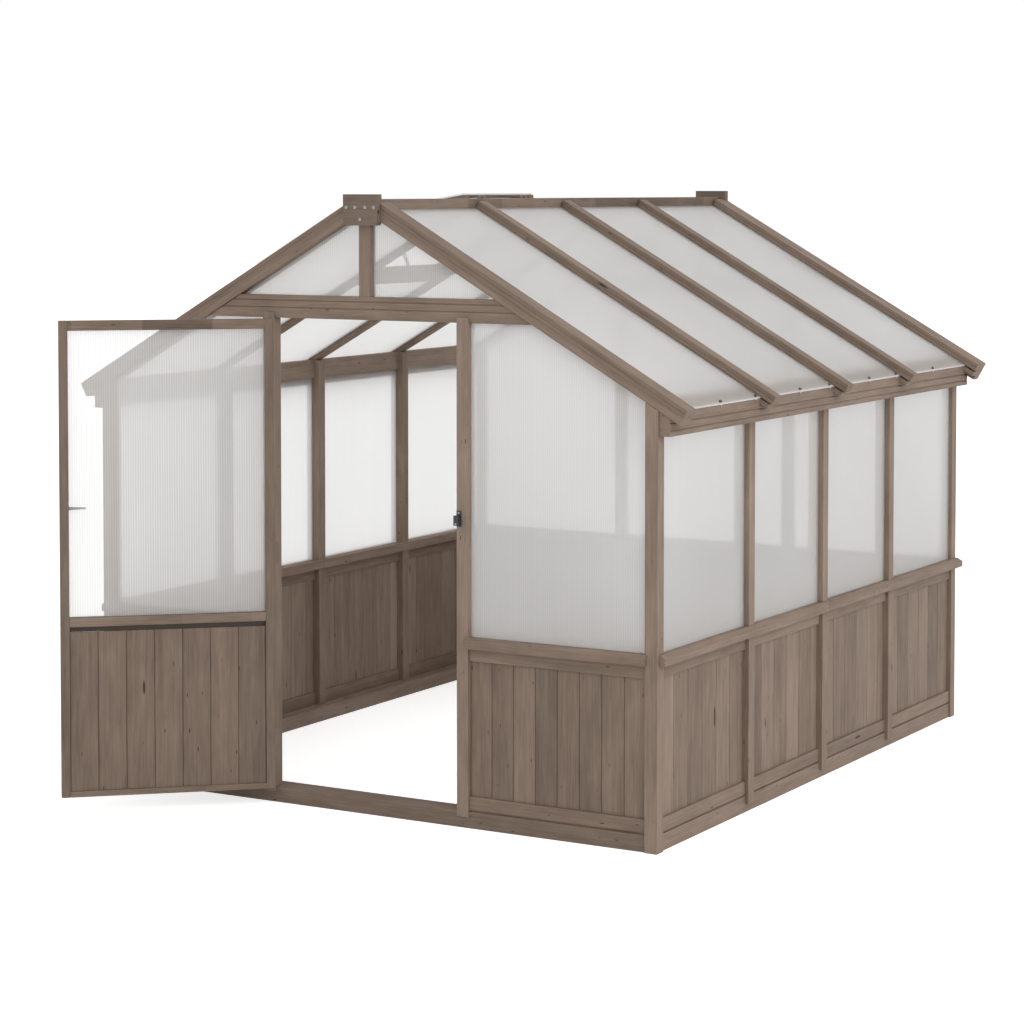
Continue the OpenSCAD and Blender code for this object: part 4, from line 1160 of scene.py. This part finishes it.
def domed_head(tree: Tree, given: bpy.types.NodeOutputs) -> Socket:
    """Adds the nodes of a domed head with a hexagonal socket.

    Args:
        tree: Tree that gets the nodes.
        given: The tree's own inputs.

    Returns:
        The head, upright with its underside at the origin.
    """
    # A unit dome: a sphere whose lower half is pressed flat, stretched to its sizes.
    ball = add_node(
        tree, "GeometryNodeMeshUVSphere", ("Segments", 16), ("Rings", 8), ("Radius", 1.0)
    )
    spot = add_node(tree, "GeometryNodeInputPosition")
    parts = add_node(tree, "ShaderNodeSeparateXYZ", (0, spot))
    level = add_node(tree, "ShaderNodeMath", (0, parts.outputs["Z"]), (1, 0.0), operation="MAXIMUM")
    pressed = add_node(
        tree, "ShaderNodeCombineXYZ", ("X", parts.outputs["X"]), ("Y", parts.outputs["Y"]),
        ("Z", level),
    )
    flat = add_node(
        tree, "GeometryNodeSetPosition", ("Geometry", ball.outputs["Mesh"]), ("Position", pressed)
    )
    stretch = add_node(
        tree, "ShaderNodeCombineXYZ", ("X", given["Radius"]), ("Y", given["Radius"]),
        ("Z", given["Height"]),
    )
    dome = add_node(tree, "GeometryNodeTransform", ("Geometry", flat), ("Scale", stretch))
    welded = add_node(
        tree, "GeometryNodeMergeByDistance", ("Geometry", dome), ("Distance", 0.001 * MM)
    )

    # The socket is cut by a hexagonal prism that stands on its floor.
    double = add_node(
        tree, "ShaderNodeMath", (0, given["Socket depth"]), (1, 2.0), operation="MULTIPLY"
    )
    prism = add_node(
        tree, "GeometryNodeMeshCylinder", ("Vertices", 6), ("Radius", given["Socket radius"]),
        ("Depth", double),
    )
    top = add_node(tree, "ShaderNodeCombineXYZ", ("Z", given["Height"]))
    lifted = add_node(
        tree, "GeometryNodeTransform", ("Geometry", prism.outputs["Mesh"]), ("Translation", top)
    )
    cut = add_node(
        tree, "GeometryNodeMeshBoolean", (0, welded), (1, lifted), operation="DIFFERENCE",
        solver="EXACT",
    )
    return cut.outputs["Mesh"]


def head_shank(tree: Tree, given: bpy.types.NodeOutputs) -> Socket:
    """Adds the nodes of the shank under a head.

    Args:
        tree: Tree that gets the nodes.
        given: The tree's own inputs.

    Returns:
        The shank.
    """
    rod = add_node(
        tree, "GeometryNodeMeshCylinder", ("Vertices", 12), ("Radius", given["Shank radius"]),
        ("Depth", given["Shank length"]),
    )
    half = add_node(
        tree, "ShaderNodeMath", (0, given["Shank length"]), (1, -0.5), operation="MULTIPLY"
    )
    down = add_node(tree, "ShaderNodeCombineXYZ", ("Z", half))
    shank = add_node(
        tree, "GeometryNodeTransform", ("Geometry", rod.outputs["Mesh"]), ("Translation", down)
    )
    return shank.outputs[0]


def head_turn(tree: Tree, given: bpy.types.NodeOutputs) -> Socket:
    """Adds the nodes that turn each head: it faces its way and is driven home to its own turn.

    Args:
        tree: Tree that gets the nodes.
        given: The tree's own inputs.

    Returns:
        The turn of each head.
    """
    facing = add_node(
        tree, "GeometryNodeInputNamedAttribute", ("Name", "facing"), data_type="FLOAT_VECTOR"
    )
    upright = add_node(
        tree, "FunctionNodeAlignRotationToVector", ("Vector", facing.outputs["Attribute"]), axis="Z"
    )
    angle = add_node(
        tree, "FunctionNodeRandomValue", ("Min", (0.0, 0.0, 0.0)), ("Max", (0.0, 0.0, math.tau)),
        ("Seed", given["Seed"]), data_type="FLOAT_VECTOR",
    )
    own = add_node(tree, "FunctionNodeEulerToRotation", ("Euler", angle))
    turned = add_node(
        tree, "FunctionNodeRotateRotation", ("Rotation", upright), ("Rotate By", own),
        rotation_space="LOCAL",
    )
    return turned.outputs[0]


def head_tree() -> Tree:
    """Builds the nodes that put a domed head with a socket and a shank on every point.

    Returns:
        The geometry node tree, with its sizes as named inputs.
    """
    tree = bpy.data.node_groups.new("domed_heads", "GeometryNodeTree")
    face = tree.interface
    face.new_socket(name="Spots", in_out="INPUT", socket_type="NodeSocketGeometry")
    for name in (
        "Radius", "Height", "Socket radius", "Socket depth", "Shank radius", "Shank length"
    ):
        face.new_socket(name=name, in_out="INPUT", socket_type="NodeSocketFloat")
    face.new_socket(name="Seed", in_out="INPUT", socket_type="NodeSocketInt")
    face.new_socket(name="Finish", in_out="INPUT", socket_type="NodeSocketMaterial")
    face.new_socket(name="Heads", in_out="OUTPUT", socket_type="NodeSocketGeometry")
    given = tree.nodes.new("NodeGroupInput").outputs

    whole = add_node(
        tree, "GeometryNodeJoinGeometry", (0, domed_head(tree, given)), (0, head_shank(tree, given))
    )
    placed = add_node(
        tree, "GeometryNodeInstanceOnPoints", ("Points", given["Spots"]), ("Instance", whole),
        ("Rotation", head_turn(tree, given)),
    )
    real = add_node(tree, "GeometryNodeRealizeInstances", ("Geometry", placed))
    dressed = add_node(
        tree, "GeometryNodeSetMaterial", ("Geometry", real), ("Material", given["Finish"])
    )
    add_node(tree, "NodeGroupOutput", (0, dressed))
    return tree


@dataclass
class HeadSet:
    """Bolts or screws of one kind on one body, set out by geometry nodes.

    Attributes:
        shape: Sizes of the bolts or screws.
        name: Name of the piece.
        body: Body that they ride on.
        spots: Place and direction of each head.
        seed: Fixed seed of their turns.
    """

    shape: HeadShape
    name: str
    body: str
    spots: list[Spot]
    seed: int = 7

    def build(self, tree: Tree, metal: Material) -> Piece:
        """Builds the heads as one plain mesh.

        Args:
            tree: Geometry nodes that make the heads.
            metal: Their material.

        Returns:
            The new object.
        """
        points = bpy.data.meshes.new(self.name + "_spots")
        points.from_pydata([tuple(place) for place, _ in self.spots], [], [])
        facing = points.attributes.new("facing", "FLOAT_VECTOR", "POINT")
        for row, (_, way) in zip(facing.data, self.spots):
            row.vector = way
        maker = add_object(self.name + "_maker", points)
        modifier = maker.modifiers.new("heads", "NODES")
        modifier.node_group = tree
        shape = self.shape
        values = {
            "Radius": shape.radius * MM,
            "Height": shape.height * MM,
            "Socket radius": shape.socket * MM,
            "Socket depth": shape.sink * MM,
            "Shank radius": shape.shank * MM,
            "Shank length": shape.length * MM,
            "Seed": self.seed,
            "Finish": metal,
        }
        for item in tree.interface.items_tree:
            if item.name in values:
                modifier[item.identifier] = values[item.name]
        graph = bpy.context.evaluated_depsgraph_get()
        mesh = bpy.data.meshes.new_from_object(maker.evaluated_get(graph))
        bpy.data.objects.remove(maker)
        mesh.name = self.name
        piece = add_object(self.name, mesh)
        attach(piece, self.body)
        return piece


@dataclass
class Fasteners:
    """Bolts of the apex plates and screws of the hinges.

    Attributes:
        leaf: Places of the screws on a leaf of the door's hinges, as shares of its box.
        flap: Places of the screws on a flap of the vent's hinges, as shares of its box.
    """

    leaf: tuple[tuple[float, float, float], ...] = (
        (0.5, 0.7, 0.14), (0.5, 0.86, 0.38), (0.5, 0.7, 0.62), (0.5, 0.86, 0.86),
    )
    flap: tuple[tuple[float, float, float], ...] = ((0.5, 0.2, 0.5), (0.5, 0.8, 0.5))

    def build(self, finishes: Finishes) -> list[Piece]:
        """Builds every bolt and screw that geometry nodes set out.

        Args:
            finishes: The part's materials.

        Returns:
            The new objects.
        """
        tree = head_tree()
        bolts = bolt_spots("apex_bolts", APEX_BOLT.height)
        jamb = plate_spots("door_hinges_jamb", Lay.LEVEL, (1.0, 0.0, 0.0), self.leaf)
        door = plate_spots("door_hinges_leaf", Lay.DOOR, (-1.0, 0.0, 0.0), self.leaf)
        ridge = plate_spots("vent_hinges_roof", Lay.LEVEL, (0.0, 0.0, 1.0), self.flap)
        heads = HeadSet(APEX_BOLT, "apex_bolt_heads", "house", bolts).build(tree, finishes.zinc)
        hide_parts("apex_bolts")
        return [
            heads,
            HeadSet(HINGE_SCREW, "jamb_hinge_screws", "house", jamb).build(tree, finishes.brown),
            HeadSet(HINGE_SCREW, "leaf_hinge_screws", "door", door).build(tree, finishes.brown),
            HeadSet(FLAP_SCREW, "vent_hinge_screws", "house", ridge).build(tree, finishes.brown),
        ]


@dataclass
class Carcass:
    """Base, posts, studs, rails, boards and sills of the walls.

    Attributes:
        upright: Nodes whose grain runs upright.
        level: Nodes whose grain runs along the piece.
        deeper: How much darker than plain some of them are made.
        board_spread: How much the tone differs from board to board.
        board_meet: How far the boards reach into their joints, in millimetres.
        rebate_painted_shade: How much darker the rebate of the bottom rails is made: painted shade
            in the rebate.
    """

    upright: tuple[str, ...] = (
        "corner_posts", "door_jambs", "rear_studs", "lower_studs", "upper_studs", "king_posts",
        "boards_front", "boards_left", "boards_right", "boards_rear",
    )
    level: tuple[str, ...] = (
        "base_rail_front", "base_rail_rear", "base_rail_left", "base_rail_right", "bottom_rails",
        "apron_rails", "sills_front", "sills_left", "sills_right", "sill_rear", "header_beams",
        "wall_plates", "eave_beam_left", "eave_beam_right", "ridge_board",
    )
    deeper: dict[str, float] = field(
        default_factory=lambda: {
            "boards_front": 0.1,
            "boards_left": -0.02,
            "boards_right": 0.06,
            "boards_rear": 0.06,
            "base_rail_front": 0.15,
            "bottom_rails": 0.07,
            "sills_front": 0.05,
            "apron_rails": 0.04,
            "header_beams": 0.07,
            "eave_beam_left": 0.04,
            "eave_beam_right": 0.04,
            "ridge_board": 0.2,
        }
    )
    board_spread: float = 0.06
    board_meet: float = 0.3
    rebate_painted_shade: float = 0.1

    def build(self, finishes: Finishes) -> list[Piece]:
        """Builds every timber piece of the walls.

        Args:
            finishes: The part's materials.

        Returns:
            The new objects.
        """
        made = []
        for node in self.upright:
            pieces = TimberSet(node, grain=Grain.UPRIGHT, depth=self.deeper.get(node, 0.0))
            if node.startswith("boards"):
                pieces.spread, pieces.meet = self.board_spread, self.board_meet
            made.append(pieces.build(finishes.timber))
        for node in self.level:
            pieces = TimberSet(node, depth=self.deeper.get(node, 0.0))
            pieces.jointed = node == "ridge_board"
            # The rebate of the bottom rails gets painted shade, for the dark line above the base
            # rail.
            pieces.painted_recess_shade = self.rebate_painted_shade if node == "bottom_rails" else 0.0
            made.append(pieces.build(finishes.timber))
        return made


@dataclass
class Roof:
    """Rafters, caps, apex plates, the vent's curb and frame, and the clips."""

    sloped: tuple[str, ...] = (
        "barge_rafters", "rafters_left", "rafters_right", "barge_caps", "rafter_caps_left",
        "rafter_caps_right", "vent_curb",
    )

    def build(self, finishes: Finishes) -> list[Piece]:
        """Builds the roof's timber and metal.

        Args:
            finishes: The part's materials.

        Returns:
            The new objects.
        """
        made = [
            TimberSet(node, Lay.SLOPE, depth=0.08 if "cap" in node else 0.03).build(finishes.timber)
            for node in self.sloped
        ]
        made.append(TimberSet("apex_plates", depth=0.2).build(finishes.timber))
        frame = TimberSet("vent_frame", Lay.VENT, "vent", depth=0.12)
        made.append(frame.build(finishes.timber))
        made.append(ClipSet().build(finishes.clip))
        for node, body, metal in (
            ("vent_hinges_roof", "house", finishes.brown),
            ("stay_peg", "house", finishes.zinc),
            ("vent_hinges_leaf", "vent", finishes.brown),
            ("stay_bracket", "vent", finishes.zinc),
            ("vent_stay", "stay", finishes.zinc),
        ):
            made.append(MetalSet(node, body, "steel").build(metal))
        return made


@dataclass
class Glazing:
    """Twin-wall sheets of the walls, gables, roof, vent and door."""

    def build(self, finishes: Finishes) -> list[Piece]:
        """Builds every sheet.

        Args:
            finishes: The part's materials.

        Returns:
            The new objects.
        """
        sets = [
            SheetSet("wall_glazing_front", Lay.LEVEL, 0, milk_left=0.36),
            SheetSet("wall_glazing_rear", Lay.LEVEL, 0),
            SheetSet("gable_glazing", Lay.LEVEL, 0, milk=0.4),
            SheetSet("wall_glazing_left", Lay.LEVEL, 1),
            SheetSet("wall_glazing_right", Lay.LEVEL, 1),
            SheetSet("roof_glazing_left", Lay.SLOPE, 1, milk=0.8),
            SheetSet("roof_glazing_right", Lay.SLOPE, 1, milk=0.8),
            SheetSet("vent_glazing", Lay.VENT, 1, "vent", milk=0.8),
            SheetSet("door_glazing", Lay.DOOR, 0, "door", milk=0.34),
        ]
        return [s.build(finishes.sheet) for s in sets]


@dataclass
class Door:
    """Door leaf, its hinges and its latch."""

    def build(self, finishes: Finishes) -> list[Piece]:
        """Builds the door.

        Args:
            finishes: The part's materials.

        Returns:
            The new objects.
        """
        sets = (
            TimberSet("door_stiles", Lay.DOOR, "door", Grain.UPRIGHT, depth=0.17),
            # The rails' recessed lip under the middle rail gets painted shade, for the dark gap
            # above the boards.
            TimberSet("door_rails", Lay.DOOR, "door", jointed=True, depth=0.15, painted_recess_shade=0.5),
            TimberSet("door_boards", Lay.DOOR, "door", Grain.UPRIGHT, depth=0.16, meet=0.3),
        )
        made = [pieces.build(finishes.timber) for pieces in sets]
        for node, body in (("door_hinges_jamb", "house"), ("door_hinges_leaf", "door")):
            made.append(MetalSet(node, body, "steel").build(finishes.brown))
        latch = {"latch_plate": "door", "latch_lever": "latch", "latch_keeper": "house"}
        for node, body in latch.items():
            made.append(MetalSet(node, body, "black_metal").build(finishes.black))
        made.append(MetalSet("keeper_screws", "house", "steel").build(finishes.zinc))
        return made


@dataclass(frozen=True)
class Lamp:
    """Broad soft lamp.

    Attributes:
        name: Name of the lamp.
        place: Where it hangs.
        power: Its power in watts.
        size: Length of its sides.
        aim: The place that it lights.
    """

    name: str
    place: tuple[float, float, float]
    power: float
    size: float = 6.0
    aim: tuple[float, float, float] = (0.0, 1.2, 1.0)


@dataclass
class Studio:
    """White room, soft lamps and the camera at the photograph's place.

    Attributes:
        eye: Place of the camera.
        yaw: Direction of view, turned to the left of +Y, in radians.
        dip: How far the view points down, in radians.
        lens: Focal length in millimetres.
        sensor: Width of the camera's sensor in millimetres.
        reach: How far the camera sees.
        shift_up: Vertical shift of the frame.
        lamps: One lamp in front and to the right, and a weaker one left.
        floor_reach: How far the floor reaches to each side.
        floor_shade: Grey of the floor's paint.
        floor_glow: Light that the floor adds where it is seen, which turns it white.
        room: Strength of the world's light on the object.
    """

    eye: tuple[float, float, float] = (5.457, -8.347, 2.325)
    yaw: float = 0.5251
    dip: float = 0.0453
    lens: float = 94.84
    sensor: float = 36.0
    reach: float = 200.0
    shift_up: float = -0.1964
    lamps: tuple[Lamp, ...] = (
        Lamp("key", (9.0, -2.0, 6.0), 280.0), Lamp("fill", (-3.0, -9.0, 5.0), 40.0),
    )
    floor_reach: float = 60.0
    floor_shade: float = 0.8
    floor_glow: float = 0.6
    room: float = 0.95

    def build(self) -> None:
        """Builds the camera, the floor, the lamps and the world."""
        scene = bpy.context.scene
        scene.view_settings.view_transform = "Standard"
        self._camera(scene)
        self._floor()
        self._lamps()
        self._world(scene)

    def _camera(self, scene: bpy.types.Scene) -> None:
        """Places the camera.

        Args:
            scene: The scene that looks through it.
        """
        data = bpy.data.cameras.new("view")
        data.lens = self.lens
        data.sensor_width = self.sensor
        data.shift_y = self.shift_up
        data.clip_end = self.reach
        camera = add_object("view", data)
        camera.location = self.eye
        camera.rotation_euler = (math.pi / 2 - self.dip, 0.0, self.yaw)
        scene.camera = camera

    def _floor(self) -> None:
        """Lays a plain pale floor that shows white and keeps the shadow."""
        mesh = bmesh.new()
        bmesh.ops.create_grid(mesh, x_segments=1, y_segments=1, size=self.floor_reach)
        material, tree = new_material("white_floor")
        paint = add_node(
            tree, "ShaderNodeBsdfPrincipled", ("Base Color", grey(self.floor_shade)),
            ("Roughness", 0.9),
        )
        path = add_node(tree, "ShaderNodeLightPath")
        seen = add_node(
            tree, "ShaderNodeMath", (0, path.outputs["Is Camera Ray"]),
            (1, path.outputs["Is Glossy Ray"]), operation="ADD",
        )
        lift = add_node(
            tree, "ShaderNodeMath", (0, seen), (1, self.floor_glow), operation="MULTIPLY"
        )
        glow = add_node(tree, "ShaderNodeEmission", ("Color", grey(1.0)), ("Strength", lift))
        both = add_node(tree, "ShaderNodeAddShader", (0, paint), (1, glow))
        add_node(tree, "ShaderNodeOutputMaterial", ("Surface", both))
        floor = object_from(mesh, "floor", material)

    def _lamps(self) -> None:
        """Hangs the lamps, which don't show themselves."""
        for given in self.lamps:
            data = bpy.data.lights.new(given.name, "AREA")
            data.shape = "SQUARE"
            data.size = given.size
            data.energy = given.power
            lamp = add_object(given.name, data)
            lamp.location = given.place
            view = Vector(given.aim) - Vector(given.place)
            lamp.rotation_euler = view.to_track_quat("-Z", "Y").to_euler()
            lamp.visible_camera = False

    def _world(self, scene: bpy.types.Scene) -> None:
        """Fills the room with white, at full strength only where it is seen.

        Args:
            scene: The scene that gets the world.
        """
        world = bpy.data.worlds.new("white_room")
        world.use_nodes = True
        tree = world.node_tree
        tree.nodes.clear()
        path = add_node(tree, "ShaderNodeLightPath")
        seen = add_node(
            tree, "ShaderNodeMath", (0, path.outputs["Is Camera Ray"]),
            (1, path.outputs["Is Transmission Ray"]), operation="MAXIMUM",
        )
        level = add_node(
            tree, "ShaderNodeMapRange", ("Value", seen), ("To Min", self.room), ("To Max", 1.0)
        )
        light = add_node(tree, "ShaderNodeBackground", ("Color", grey(1.0)), ("Strength", level))
        add_node(tree, "ShaderNodeOutputWorld", ("Surface", light))
        scene.world = world


def main() -> None:
    """Builds the greenhouse and the studio."""
    logging.basicConfig(level=logging.INFO, format="%(message)s")
    FRAME.update(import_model())
    finishes = Finishes()
    for assembly in (Carcass(), Roof(), Glazing(), Door(), Fasteners()):
        for piece in assembly.build(finishes):
            LOG.info("built %s: %d faces", piece.name, len(piece.data.polygons))
    Studio().build()


if __name__ == "__main__":
    main()
